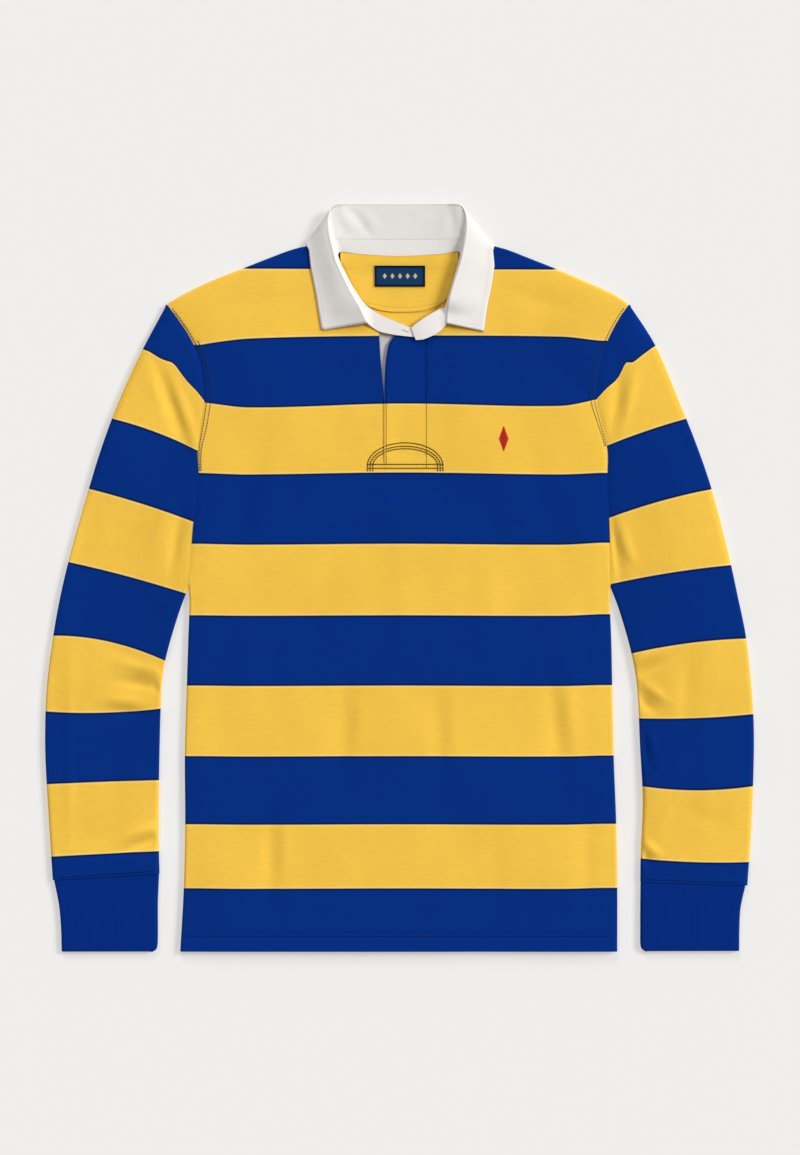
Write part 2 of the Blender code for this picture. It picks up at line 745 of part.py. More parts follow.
front, slot = front_rows()
cloth("front", front, JERSEY, YELLOW, missing=slot)
cloth("back", back_rows(), JERSEY, YELLOW)
cloth("sleeve_right", sleeve_rings(RIGHT_OUTER, RIGHT_INNER, 1), JERSEY, BLUE, closed=True)
cloth("sleeve_left", sleeve_rings(LEFT_OUTER, LEFT_INNER, 2), JERSEY, BLUE, closed=True)
cloth("cuff_right", cuff_rings(RIGHT_CUFF), RIB, BLUE, closed=True)
cloth("cuff_left", cuff_rings(LEFT_CUFF), RIB, BLUE, closed=True)
leaf, no_rise = leaf_rows()
cloth("collar_leaf", leaf, TWILL, WHITE, missing=no_rise)
cloth("collar_stand", stand_rows(), TWILL, WHITE)
cloth("placket_flap", flap_rows(), JERSEY, YELLOW)
cloth("placket_facing", facing_rows(), PATCH_CLOTH, WHITE)
cloth("neck_patch", half_moon_rows(), PATCH_CLOTH, YELLOW)
cloth("neck_label", label_rows(), LABEL_CLOTH, LABEL_BLUE, roughness=0.6)
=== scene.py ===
"""A long-sleeved polo shirt laid flat: its hooped jersey, woven collar, ribbed cuffs and sewing.

Tables are in millimetres: the wearer's left is at +X, the collar at +Y, and the floor at Z = 0.
"""

import bisect
import functools
import itertools
import json
import math

import bpy
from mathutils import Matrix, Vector, noise

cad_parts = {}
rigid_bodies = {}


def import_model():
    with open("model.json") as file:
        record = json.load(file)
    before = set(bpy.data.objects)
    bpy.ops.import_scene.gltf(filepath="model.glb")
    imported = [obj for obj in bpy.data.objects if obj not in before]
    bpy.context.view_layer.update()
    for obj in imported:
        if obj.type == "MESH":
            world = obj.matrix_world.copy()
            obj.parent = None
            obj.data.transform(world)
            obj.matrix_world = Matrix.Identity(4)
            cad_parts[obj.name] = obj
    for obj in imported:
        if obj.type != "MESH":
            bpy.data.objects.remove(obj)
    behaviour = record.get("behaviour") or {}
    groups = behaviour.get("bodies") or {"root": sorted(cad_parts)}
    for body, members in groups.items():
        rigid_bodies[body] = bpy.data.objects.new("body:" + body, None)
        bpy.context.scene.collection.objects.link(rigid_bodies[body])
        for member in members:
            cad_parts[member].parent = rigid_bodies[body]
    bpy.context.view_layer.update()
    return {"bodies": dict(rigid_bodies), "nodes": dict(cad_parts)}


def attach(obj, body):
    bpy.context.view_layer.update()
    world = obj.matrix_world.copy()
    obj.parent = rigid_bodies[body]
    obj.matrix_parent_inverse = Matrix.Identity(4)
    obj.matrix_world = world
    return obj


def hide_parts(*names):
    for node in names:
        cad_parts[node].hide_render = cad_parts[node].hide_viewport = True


bl_info = {
    "name": "Laid Polo Shirt",
    "version": (1, 0, 0),
    "blender": (4, 5, 0),
    "location": "View3D > Sidebar > Polo Shirt",
    "description": "Dresses the solids of a laid polo shirt in cloth, sewing and light",
    "category": "Object",
}

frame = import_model()

MM = 0.001
JERSEY = 1.4
RIB = 1.6
TWILL = 1.3
PATCH_CLOTH = 1.0
LABEL_CLOTH = 0.8
SEAM_GAP = 0.3
SEAM_UPRIGHT = 0.4
FLAT_STEP = 0.5
LAYER_GAP = 0.3
KNOT_CURL = 1.8
SLEEVE_CURL = 1.9
# Degrees at which the curl of an edge has its points.
CURL = (90, 67, 45, 22)
# The way in from an edge, by the column of its table.
INWARD = {1: 1, 2: -1}
# How much wider than the curl a row crosses it at most, where a shoulder slants.
WIDEST = 3.2
SHARP_EDGE = math.radians(50)
THREAD_SIDES = 5
STITCH_LIFT = 0.08

# Each cloth: thickness, slot, roughness, sheen, weave, its depth in metres and strength, fading, and
# its colour where it has no hoops.
CLOTHS = {
    "hooped_jersey": (JERSEY, "jersey", 0.9, 0.02, "knit", 0.0005, 0.5, 0.075, None),
    "yellow_jersey": (PATCH_CLOTH, "jersey", 0.9, 0.02, "knit", 0.0005, 0.5, 0.075, "yellow"),
    "ribbed_cuff": (RIB, "rib", 0.9, 0.02, "rib", 0.0006, 0.35, 0.06, "cuff_blue"),
    "white_twill": (TWILL, "twill", 0.8, 0.06, "twill", 0.0003, 0.45, 0.03, "white"),
    # The facing's grey colour is painted shade: white twill darkened as if shadowed in the open gap.
    "facing_twill_painted_shade": (PATCH_CLOTH, "twill", 0.85, 0.05, "twill", 0.0003, 0.45, 0.05, "facing"),
    "woven_label": (LABEL_CLOTH, "label", 0.6, 0.03, "tape", 0.0002, 0.4, 0.06, "label"),
}
# Pieces that aren't tubes, and whose weave still follows their form.
ROLLED = ("collar_fall", "collar_band")
# Lines where the hoops meet: middle, narrowness, strength and input of the node group.
HOOP_EDGES = ((0.045, 15.0, 1.0, "Line"), (-0.035, 17.0, 0.5, "Pale"))

# Stage, with the floor in metres: each light's direction, angle in degrees and strength, and the
# photo's height as the camera sees it.
FLOOR_HALF = 6.0
FLOOR_Z = -0.0003
LIGHTS = (
    ("key_light", (1.0, 0.42, 0.74), 20.0, 2.9),
    ("window_light", (-0.25, 1.0, 0.62), 22.0, 1.2),
)
LENS = 100.0
SENSOR = 36.0
SEEN_HEIGHT = 1155 * 1.05

BACK_MID = JERSEY / 2
FRONT_MID = 5.4
NECK_SINK = 0.4
CUFF_TOP_MID = 4.6
FALL_MID = TWILL / 2
LEAF_ON_FRONT = FRONT_MID + JERSEY / 2 + LAYER_GAP + TWILL / 2
BACK_LIFT = TWILL + LAYER_GAP
MOON_LIFT = JERSEY / 2 + LAYER_GAP + PATCH_CLOTH / 2
MOON_TOP = MOON_LIFT + PATCH_CLOTH / 2
STAND_ON_BACK = BACK_MID + BACK_LIFT + JERSEY / 2 + LAYER_GAP + TWILL / 2

HEM_Y = -391.7
UNDERARM_Y = -9.0
TIP_Y = 287.0
NECK_TOP_Y = 351.0
SLOT_BOTTOM_Y = 114.0
BACK_NECK_DIP = 4.0
BACK_NECK_HALF = 72.0

# Side seams: y, x at the wearer's right, x at the wearer's left.
SIDE = (
    (HEM_Y, -230, 228.4), (-325, -226.3, 228.4), (-257, -224.8, 227.3), (-188, -225.2, 224.7),
    (-113, -223.1, 223.1), (-65, -221.6, 222.1), (-24, -220.3, 220.6), (UNDERARM_Y, -221.5, 221.5),
)

# Armhole seams, from the underarm to the shoulder tip: y, x right, x left.
ARMHOLE = (
    (UNDERARM_Y, -221.5, 221.5), (24, -218.9, 221), (58, -216.2, 220), (82, -211.8, 218.9),
    (109, -210.5, 218), (134, -211.6, 218), (163, -207.7, 211.8), (187, -204.4, 206.8),
    (207, -205.3, 207.2), (228, -209.5, 211.4), (249, -217.9, 218.2), (271, -232, 229.5),
    (TIP_Y, -243.8, 240.5),
)

# Shoulder seams, from the tip to the neck: y, x right, x left.
SHOULDER = (
    (TIP_Y, -243.8, 240.5), (297, -227.3, 225.8), (313, -193.7, 190.6), (325.5, -162.2, 161),
    (337, -133, 132), (344, -114, 114), (348, -97, 98.5), (NECK_TOP_Y, -85, 87),
)

# Neck and placket edges of the front: y, x of the right front's edge, x of the left front's.
OPENING = (
    (SLOT_BOTTOM_Y, -16.3, 29.9), (185, -16.3, 29.9), (211, -18.4, 29.9), (233, -20.1, 29.9),
    (252, -21.2, 30.5), (260, -21.8, 33.6), (268.5, -22.8, 40), (273, -26.5, 44.2), (277, -33, 48.4),
    (281, -38, 52), (287, -42.6, 54.8), (298, -48.8, 58.3), (314, -56.7, 62.5), (331, -63.5, 67.2),
    (344, -69, 70.8), (NECK_TOP_Y, -71, 72),
)

# Sleeve silhouettes: x and y along the outer fold, then along the underarm fold.
RIGHT_OUTER = (
    (-243.8, TIP_Y), (-269.3, 239.4), (-293.5, 186.9), (-311.3, 139.7), (-325.7, 93.5), (-343.9, 29.4),
    (-355.4, -17.9), (-363.8, -65.1), (-370.1, -117.6), (-371.7, -175.4), (-369.1, -233.1),
    (-363.8, -316.8),
)
RIGHT_INNER = (
    (-221.5, UNDERARM_Y), (-231.5, -35.7), (-242.5, -72), (-248.6, -100), (-250.6, -128.1),
    (-252.1, -191.1), (-252.7, -263.6), (-251.7, -309.8),
)
LEFT_OUTER = (
    (240.5, TIP_Y), (268.3, 243.6), (292.4, 186.9), (311.3, 139.7), (327.1, 93.5), (343.9, 29.4),
    (354.4, -17.9), (363.8, -65.1), (370.1, -128.1), (371.7, -179.6), (369.1, -259.4), (364.9, -322.4),
)
LEFT_INNER = (
    (221.5, UNDERARM_Y), (231.5, -35.7), (243.5, -78.3), (249.9, -117.6), (252.5, -175.4),
    (255.2, -233.1), (253.1, -285.6), (252.5, -318.7),
)

# Cuffs, from the sleeve to the hand: x and y at the outer fold, x and y at the inner fold.
RIGHT_CUFF = (
    (-362.4, -317.1, -252.2, -310.2), (-357.3, -343, -253.4, -340), (-355.2, -367, -253.4, -366),
    (-354.6, -386.5, -254, -386.5), (-354.4, HEM_Y, -258.6, -391.6),
)
LEFT_CUFF = (
    (362.9, -322.7, 252.8, -319.1), (357.8, -346, 252.5, -344), (356.6, -368, 252.5, -368),
    (356.4, -386, 252.9, -386), (356.4, -391, 257.6, -391.2),
)

# Placket flap: y, x of its free edge, x of its sewn edge.
FLAP = (
    (SLOT_BOTTOM_Y, -15.9, 29.9), (150, -15.9, 29.9), (185, -15.9, 29.9), (205, -15.8, 29.9),
    (220, -15.1, 29.9), (233, -13.6, 29.9), (246, -10.9, 29.9), (252, -6.6, 30), (259, -2.5, 30.2),
)
FACING_X = (-30, 4)
FACING_Y = (112, 263)
FACING_MID = 3.4
PLACKET_X = 6.0

# Collar in front of the shoulders, from the front edge of the leaf upwards: x and y at the neck
# seam, where it rolls, and at its free edge.
COLLAR_FRONT_RIGHT = (
    (-35, 285.4, -34.6, 266.8, -81.4, 259.4), (-40.6, 291.6, -43.3, 285.2, -84.8, 279),
    (-50, 306, -54, 304.2, -87.9, 299.3), (-61.6, 328, -66.4, 330.6, -93.2, 326.5),
)
COLLAR_FRONT_LEFT = (
    (44, 282.8, 50.2, 266.4, 88.4, 258.4), (47.8, 283.6, 50.8, 277.4, 90, 270.6),
    (50, 290, 52.4, 289.8, 92.4, 287), (55.4, 308, 57.2, 308, 97, 309),
    (61.9, 329.4, 64.4, 330.4, 99.4, 327.5),
)
# The turn at each shoulder: for the seam, the stand's upper edge, the roll and the free edge, the
# x and y where it starts, of the corner it rounds, and where it ends.
COLLAR_TURN_RIGHT = (
    (-59, 342.2, -65.4, 343, -64.8, 337), (-67, 355, -69.8, 353, -69.1, 345.9),
    (-60.5, 391.2, -82.5, 391.5, -70.2, 345.6), (-93.8, 347.4, -102.6, 356.6, -94.9, 343.5),
)
COLLAR_TURN_LEFT = (
    (59, 342.6, 64.6, 343.6, 63.6, 337.5), (66.4, 355, 67.6, 353, 66.5, 346.2),
    (58.5, 391.2, 75.8, 391.5, 67.6, 346), (95.2, 345.8, 101, 353.2, 98, 343),
)
# Collar behind the neck: x and y at the seam, the stand's upper edge, the roll and the free edge.
COLLAR_BEHIND = (
    (-59, 342.2, -67, 355, -60.5, 391.2, -93.8, 347.4),
    (-45, 340.2, -47, 354.8, -48, 391.4, -66, 338.4),
    (-24, 338.6, -24.5, 354.6, -25.5, 391.4, -33, 337.4),
    (-1.5, 337.6, -1.5, 354.5, -1.6, 391.2, -1, 337), (24, 338.6, 24.5, 354.6, 25.5, 391.4, 33, 337.4),
    (45, 340.2, 47, 354.8, 48, 391.4, 66, 338.4), (59, 342.6, 66.4, 355, 58.5, 391.2, 95.2, 345.8),
)

# Heights of the collar's middle: at the seam, at the stand's upper edge, before, on and after
# the roll, and at the free edge.
AT_POINT = (6.9, 9.6, 9.8, 10.6, 10.4, LEAF_ON_FRONT)
AT_SIDE_RIGHT = (6.6, 13.8, 14.4, 15.6, 15.4, LEAF_ON_FRONT)
AT_SIDE_LEFT = (5, 13, 13.6, 14.8, 14.6, LEAF_ON_FRONT)
AT_NAPE = (5.4, 11.6, 13.4, 14.6, 14.4, LEAF_ON_FRONT)
AT_CORNER = (4.5, 8.4, 11.6, 12.6, 12.2, 1.4)
AT_BACK = (STAND_ON_BACK, 4.8, 8.2, 8.8, 8, FALL_MID)
ROLL_RADIUS = 1.15
TURN_STEPS = 14
FALL_STEPS = 18
RISE_STEPS = 14
TUCK = 1.2

# Drag lines of the collar behind the neck, given as the folds are.
COLLAR_CREASES = (
    (-52, 386, -30, 10, 3.4, -0.72), (-41, 374, -58, 13, 3.4, -0.9), (-32, 361, -45, 9, 3.4, -0.6),
    (-52, 371, -60, 14, 5, 0.72), (-61, 366, -75, 12, 3.6, -0.48), (-30, 374, -58, 14, 5, 0.48),
    (56, 371, 84, 17, 4, -0.54), (47, 374, 76, 15, 5, 0.54), (36, 386, 20, 9, 4, -0.54),
    (10, 377, 80, 12, 6, -0.3), (20, 358, 8, 22, 4, 0.24),
)

# Lapped ends of the stand, from the tip: x and y of the lower and of the upper edge, and height.
STAND_END_RIGHT = (
    (31, 258, 31, 253, 7.05), (22, 260, 24, 252.2, 7.05), (11.9, 262.2, 10, 253, 7.05),
    (-2.4, 268.1, -6, 255, 7.05), (-17.4, 274.3, -20, 258, 7.05), (-27, 279.6, -28.6, 262.6, 7.1),
)
STAND_END_LEFT = (
    (12.4, 262.2, 17, 249.2, 8.6), (18.1, 266.9, 24.7, 249.9, 9.1), (25.7, 272.2, 31.5, 252.4, 9.1),
    (33.1, 276.9, 38.2, 255.6, 8.7), (39.4, 280.4, 44.8, 260.6, 8),
)

# Half-moon inside the back neck: y, x of its right edge, x of its left edge.
HALF_MOON = (
    (279.3, -8, 14), (281, -20, 26), (286, -34, 40), (294, -43.5, 50.5), (305, -50.5, 56),
    (318, -56.5, 59), (331, -62, 61.8),
)
HALF_MOON_TOP_Y = 341.6
LABEL_CENTRE = (0.4, 316.6)
LABEL_SIZE = (53, 22)
# Chest motif: x and y of its middle, half width and half height.
CHEST_LOZENGE = (109.2, 146, 6.5, 13)
SATIN_ROWS = 25

# Folds of the upper layer: x, y, direction in degrees, half length, half width, height. The
# solids have the large ones too. The creases below them are in the cloth alone.
FOLDS = (
    (-229, 182, -74, 32, 10, -0.9), (231, 187, -84, 36, 9, -0.9), (-265, -105, 26, 22, 9, -1.3),
    (263, -125, -30, 20, 9, -1.3), (-300, -140, 12, 26, 10, -0.7), (305, -118, 80, 34, 12, -0.7),
    (-131, -286, 88, 70, 20, -0.8), (-54, -154, 86, 60, 22, -0.6), (46, -165, 92, 66, 22, -0.7),
    (163, -172, 95, 60, 20, -0.7), (-165, 60, 70, 60, 24, -0.6), (160, 75, -72, 60, 24, -0.6),
    (-318, -272, 15, 22, 9, -0.8), (318, -250, -20, 24, 9, -0.8),
)
CREASES = (
    (-240, 182, -70, 40, 7.5, -2.8), (-225, 172, -70, 36, 6, 2.5), (-257, 205, -70, 24, 8, 1),
    (-235, 34, 80, 34, 5.6, -2.5), (-250, 48, 74, 34, 9, 1.2), (-268, -112, -9, 25, 5.2, -2.9),
    (-264, -97, -14, 24, 5.2, 2.6), (-288, -141, -4, 20, 4.8, -2.1), (-286, -129, -6, 20, 4.8, 1.9),
    (-290, -78, -24, 20, 8, -1), (-318, -112, 60, 26, 9, 0.9), (-270, -278, 22, 22, 4.8, -2.5),
    (-268, -265, 22, 20, 4.8, 2.1), (-346, -180, 90, 90, 5.6, 0.9), (-300, -20, 62, 34, 12, 1.1),
    (-330, 40, 72, 40, 11, -0.9), (-281, 120, 66, 40, 12, 1), (-300, -205, 84, 34, 11, -0.9),
    (227, 182, 79, 30, 5.2, -2.5), (240, 184, 78, 30, 5.2, 2.5), (226, 34, -78, 34, 5.6, -2.4),
    (239, 30, -74, 30, 5.6, 2.1), (246, 8, -58, 16, 4.8, -1.2), (257, -132, -35, 15, 4.8, -3),
    (267, -120, -36, 16, 5.2, 2.8), (264, -94, 29, 20, 4.4, -2.1), (262, -82, 29, 20, 4.4, 1.9),
    (256, -178, -75, 20, 5.2, -2), (266, -176, -75, 20, 5.2, 1.3), (255, -292, -40, 12, 4.4, -2.5),
    (263, -283, -40, 12, 4.4, 2), (276, -256, 62, 24, 8, 1.3), (300, -115, 84, 30, 8, -1.2),
    (326, -60, 78, 40, 11, 0.9), (286, 110, -66, 38, 12, 1), (322, -225, 86, 40, 10, 0.9),
    (-135, -284, 89, 38, 8, -1.5), (-120, -288, 90, 36, 8, 1.2), (-58, -154, 88, 40, 9, -1.3),
    (-42, -158, 87, 38, 9, 1), (41, -165, 92, 48, 9, -1.3), (57, -168, 93, 44, 9, 1),
    (163, -148, 96, 44, 9, -1.6), (179, -150, 96, 42, 9, 1.4), (196, -300, 91, 60, 10, -1.1),
    (100, -310, 88, 42, 10, -0.9), (-190, -120, 84, 70, 13, -1), (-160, 90, 74, 56, 13, -1),
    (-138, 100, 76, 50, 12, 0.8), (150, 84, -76, 56, 13, -1), (196, -60, 92, 60, 12, -0.9),
    (-185, 196, 58, 30, 11, -0.9), (184, 204, -60, 30, 11, -0.9), (-130, 292, 14, 36, 9, -0.8),
    (140, 292, -12, 36, 9, -0.8), (4, -20, 86, 60, 14, 0.8), (-84, -40, 80, 60, 13, -0.8),
    (96, -30, 97, 60, 13, 0.8),
)
EDGE_PUFF = 2.0
EDGE_PUFF_WIDTH = 16.0
RIPPLE = 0.9

# Hoop lines of the body, from the top: their y at five places across.
BODY_LINE_X = (-209.5, -157, 0.5, 168.5, 210.5)
BODY_LINES = (
    (323.4, 323.9, 323.4, 322.9, 322.4), (244.4, 251, 254.1, 253.1, 248.6),
    (184.8, 178.5, 182.7, 180.2, 188), (110.3, 108.7, 110.8, 108.7, 110.3),
    (35.7, 34.7, 35.7, 34.7, 36.8), (-38.9, -39.4, -38.9, -39.4, -37.8),
    (-112.9, -113.4, -112.9, -113.4, -112.4), (-186.5, -186.9, -186.5, -186.9, -185.9),
    (-258.3, -258.8, -258.3, -258.8, -257.8), (-325, -325.5, -325, -325.5, -324.5),
)
# Hoop lines of the sleeves, from the top: x and y at the outer fold, the middle and the seam.
RIGHT_LINES = (
    (-269.6, 239.7, -235.7, 221.6, -204.8, 184.8), (-300.2, 167, -253.6, 152.3, -212.6, 134.4),
    (-326, 93.5, -260.9, 74.6, -216.2, 58.8), (-347, 16.8, -286.1, 2.1, -225.2, -15.8),
    (-362.8, -60.6, -304, -67, -248.3, -86.1), (-371.2, -139.7, -321.8, -141.3, -250.4, -136.5),
    (-369.1, -216.3, -321.8, -214.2, -252.1, -212.1), (-364.4, -291.9, -308.2, -288.8, -251, -286.1),
)
LEFT_LINES = (
    (268.3, 243.6, 237, 218.5, 207.4, 187.5), (300.2, 167, 253.2, 152.3, 218.9, 139.7),
    (327.1, 92.9, 265.9, 78.1, 220.6, 63), (349.1, 13.7, 291.4, 6.8, 222.6, -5.9),
    (363.8, -63.6, 304, -68.3, 244.1, -79.2), (370.8, -142.5, 285.7, -147.3, 251, -147),
    (371.4, -218.2, 298.7, -222.4, 253.6, -218.2), (366.3, -297.6, 310, -297.6, 252.5, -293.8),
)
# Kinks of the topmost line where a sleeve is folded: x, half width and height.
KINKS = ((-237, 5, 2.2), (-252, 9, -2.4), (-222, 8, -2.4), (237.5, 4.6, 6.6), (226, 6, -1.6))
HOOP = 73.5

# Rows and columns of the grids.
ROW_STEP = 4.0
SIDE_ROWS = (HEM_Y, -388.5, *(HEM_Y + 6.0 + ROW_STEP * k for k in range(93)), -12.5)
SHOULDER_ROWS = (
    291, 295, 299.5, 304, 308.5, 313, 317, 321, 325.5, 329.5, 333.5, 337, 340.5, 344, 346, 348, 349.6,
)
OPENING_ROWS = (SLOT_BOTTOM_Y, 252, 256, 260, 264, 268.5, 271, 273, 275, 277, 279, 281, 284)
OUTER_COLUMNS = 56
MIDDLE_COLUMNS = 7
BACK_COLUMNS = 64
SLEEVE_RINGS = 170
ARMHOLE_KNOTS = 50
CUFF_COLUMNS = 54
CUFF_RINGS = 22
HEM_FOLD_Y = -372.75


def segment(keys, at):
    """The step between two rising keys in which a value lies."""
    return min(max(bisect.bisect_right(keys, at) - 1, 0), len(keys) - 2)


def smooth(table, at, column):
    """A cubic through the table's rows at this key, with the slopes of its neighbours."""
    keys = [row[0] for row in table]
    i = segment(keys, at)

    def slope(k):
        low, high = max(k - 1, 0), min(k + 1, len(keys) - 1)
        return (table[high][column] - table[low][column]) / (keys[high] - keys[low])

    span = keys[i + 1] - keys[i]
    t = min(max((at - keys[i]) / span, 0.0), 1.0)
    a, b = table[i][column], table[i + 1][column]
    return (
        a * (1 + 2 * t) * (1 - t) ** 2
        + slope(i) * span * t * (1 - t) ** 2
        + b * t * t * (3 - 2 * t)
        - slope(i + 1) * span * t * t * (1 - t)
    )


def edges(table, at):
    """The right and the left edge that a table gives at this key."""
    return smooth(table, at, 1), smooth(table, at, 2)


def ease(low, high, at):
    """0 below low, 1 above high and a soft step between them."""
    t = min(max((at - low) / (high - low), 0.0), 1.0)
    return t * t * (3 - 2 * t)


def steps(low, high, count):
    """Even steps from low to high, with both ends."""
    return [low + (high - low) * k / count for k in range(count + 1)]


def blend(a, b, t):
    return tuple(p + (q - p) * t for p, q in zip(a, b))


def line(start, end, count=24):
    return [blend(start, end, k / count) for k in range(count + 1)]


def direction(a, b):
    length = math.dist(a, b)
    return (b[0] - a[0]) / length, (b[1] - a[1]) / length


def lengths(points):
    """The way along the points, up to each of them."""
    return list(itertools.accumulate(map(math.dist, points, points[1:]), initial=0.0))


def point_at(points, along, distance):
    """The place at a distance along the points."""
    i = segment(along, distance)
    span = along[i + 1] - along[i] or 1.0
    return blend(points[i], points[i + 1], (distance - along[i]) / span)


def curve_through(points, count=12):
    """A Catmull-Rom curve through the points, with count steps between each two."""

    def between(p, q, r, s, t):
        bend = (2 * p - 5 * q + 4 * r - s) * t * t + (3 * q - p - 3 * r + s) * t**3
        return 0.5 * (2 * q + (r - p) * t + bend)

    fine = []
    for i in range(len(points) - 1):
        near = (points[max(i - 1, 0)], *points[i : i + 2], points[min(i + 2, len(points) - 1)])
        fine += [tuple(between(*four, k / count) for four in zip(*near)) for k in range(count)]
    return fine + [points[-1]]


def resampled(points, count):
    """A curve through the points, cut into count equal steps."""
    fine = curve_through(points)
    along = lengths(fine)
    return [point_at(fine, along, along[-1] * k / count) for k in range(count + 1)]


def finer(rows, count):
    """The rows of a table with count steps between each two, on a smooth curve."""
    keyed = tuple((k, *row) for k, row in enumerate(rows))
    columns = range(1, len(rows[0]) + 1)
    return [
        tuple(smooth(keyed, k / count, n) for n in columns) for k in range((len(rows) - 1) * count + 1)
    ]


def bump(table, x, y):
    """The sum of a table's folds at a place."""
    height = 0.0
    for fold_x, fold_y, degrees, half_length, half_width, depth in table:
        dx, dy = x - fold_x, y - fold_y
        if abs(dx) + abs(dy) > 3.5 * half_length:
            continue
        turn = math.radians(degrees)
        along = (dx * math.cos(turn) + dy * math.sin(turn)) / half_length
        across = (dy * math.cos(turn) - dx * math.sin(turn)) / half_width
        height += depth * math.exp(-along * along - across * across)
    return height


def back_height(x, y):
    """The middle of the lower layer, raised where the collar's fall lies below it."""
    under_collar = ease(318.0, 335.0, y) * (1 - ease(104.0, 122.0, abs(x - 1.5)))
    return BACK_MID + BACK_LIFT * under_collar


def ripple(x, y):
    """Slow unevenness of cloth that was smoothed by hand."""
    broad = Vector((x / 85.0, y / 140.0, 3.1))
    fine = Vector((x / 34.0 + 7.0, y / 60.0, 1.7))
    return noise.noise(broad) + 0.6 * noise.noise(fine)


def armhole_x(y, column):
    return smooth(ARMHOLE, min(max(y, UNDERARM_Y), TIP_Y), column)


def by_height(points):
    return tuple(sorted((y, x) for x, y in points))


FOLDS_BY_Y = {
    1: (by_height(RIGHT_OUTER), by_height(RIGHT_INNER)),
    2: (by_height(LEFT_OUTER), by_height(LEFT_INNER)),
}


def edge_distance(x, y):
    """How far a place lies inside the nearest fold or seam at the sides, and whether it is sleeve."""
    column = 1 if x < 0 else 2
    x = abs(x)
    if y >= TIP_Y:
        return abs(smooth(SHOULDER, y, column)) - x, False
    below = y < UNDERARM_Y
    seam = abs(smooth(SIDE, y, column) if below else armhole_x(y, column))
    if x <= seam + (1.0 if below else 0.0):
        return seam - x, False
    outer, inner = (abs(smooth(fold, y, 1)) for fold in FOLDS_BY_Y[column])
    return min(outer - x, x - (inner if below else seam)), True


def dip(distance, half_width):
    """A narrow round valley, 1 deep at its middle."""
    return math.exp(-((distance / half_width) ** 2))


def drape(x, y):
    """What the laid cloth has beyond the solid: puffed edges, soft creases and slow unevenness."""
    near_neck = 1 - ease(36.0, 70.0, math.hypot(max(abs(x) - 66.0, 0.0), max(250.0 - y, 0.0)))
    near_placket = (1 - ease(34.0, 60.0, abs(x - 7.0))) * ease(70.0, 100.0, y)
    quiet = 1 - max(near_neck, near_placket)
    distance, sleeve = edge_distance(x, y)
    inside = ease(-1.0, 7.0, distance)
    puff = EDGE_PUFF * (1 - math.exp(-max(distance, 0.0) / EDGE_PUFF_WIDTH))
    at_armhole = UNDERARM_Y + 8.0 < y < TIP_Y - 8.0 and not (sleeve and abs(x) >= 262.0)
    seam_dip = -0.7 * dip(distance, 3.0) if at_armhole else 0.0
    hem = 0.0
    if sleeve:
        to_cuff = ease(-318.0, -296.0, y)
        puff *= 0.7 * to_cuff
        inside *= to_cuff
    else:
        turned_up = 0.3 * ease(-1.5, 1.5, HEM_FOLD_Y - y) if y < -340.0 else 0.0
        hem = turned_up - 0.25 * dip(y - HEM_FOLD_Y, 2.6)
    soft = puff * 0.6 + inside * (bump(CREASES, x, y) + RIPPLE * ripple(x, y))
    return quiet * soft + seam_dip + hem * inside


def front_height(x, y):
    """The middle of the upper layer, lower towards the neck, with its folds and drape."""
    at_neck = ease(305.0, 335.0, y) * (1 - ease(118.0, 150.0, abs(x)))
    return FRONT_MID - NECK_SINK * at_neck + bump(FOLDS, x, y) + drape(x, y)


# Heights of the armhole's shared knots.
SEAM_KNOTS = (
    UNDERARM_Y,
    *steps(UNDERARM_Y + KNOT_CURL, TIP_Y - 0.8 * KNOT_CURL, ARMHOLE_KNOTS),
    TIP_Y,
)


def curl_radius(x, y):
    """Radius with which both layers curl to meet halfway at an edge."""
    return max((front_height(x, y) - back_height(x, y) - SEAM_GAP) / 2 - SEAM_UPRIGHT, 0.75)


def panel_edge(y, column):
    """The panel's edge at this height: its x, and how much wider a row crosses the curl, or 0."""
    inward = INWARD[column]
    if y <= UNDERARM_Y:
        return smooth(SIDE, y, column) + inward * JERSEY / 2, 1.0
    if y < TIP_Y:
        return armhole_x(y, column) + inward * SEAM_GAP / 2, 0.0
    low, high = max(y - 0.5, TIP_Y), min(y + 0.5, NECK_TOP_Y)
    lean = (smooth(SHOULDER, high, column) - smooth(SHOULDER, low, column)) / (high - low)
    widen = min(math.hypot(1.0, lean), WIDEST)
    return smooth(SHOULDER, y, column) + inward * widen * JERSEY / 2, widen


def edge_points(y, column, side):
    """Points at a panel's edge: on the seam, above it, round the curl and at its foot."""
    x, widen = panel_edge(y, column)
    height = front_height if side > 0 else back_height
    radius = curl_radius(x, y)
    points = []
    for n, degrees in enumerate((90, *CURL, 0)):
        upright = 0.0 if n else SEAM_UPRIGHT
        turn = math.radians(degrees)
        depth = radius * (1 - math.sin(turn)) + (0.0 if widen or upright else FLAT_STEP)
        at = x + INWARD[column] * depth * max(widen, 1.0)
        drop = radius * (1 - math.cos(turn)) + upright if widen else 0.0
        points.append((at, y, height(at, y) - side * drop))
    return points


def spread(start, end, count, y, height, power=1.0):
    """Points between two x values, without the first, denser at the start where power is above 1."""
    xs = (start + (end - start) * (k / count) ** power for k in range(1, count + 1))
    return [(x, y, height(x, y)) for x in xs]


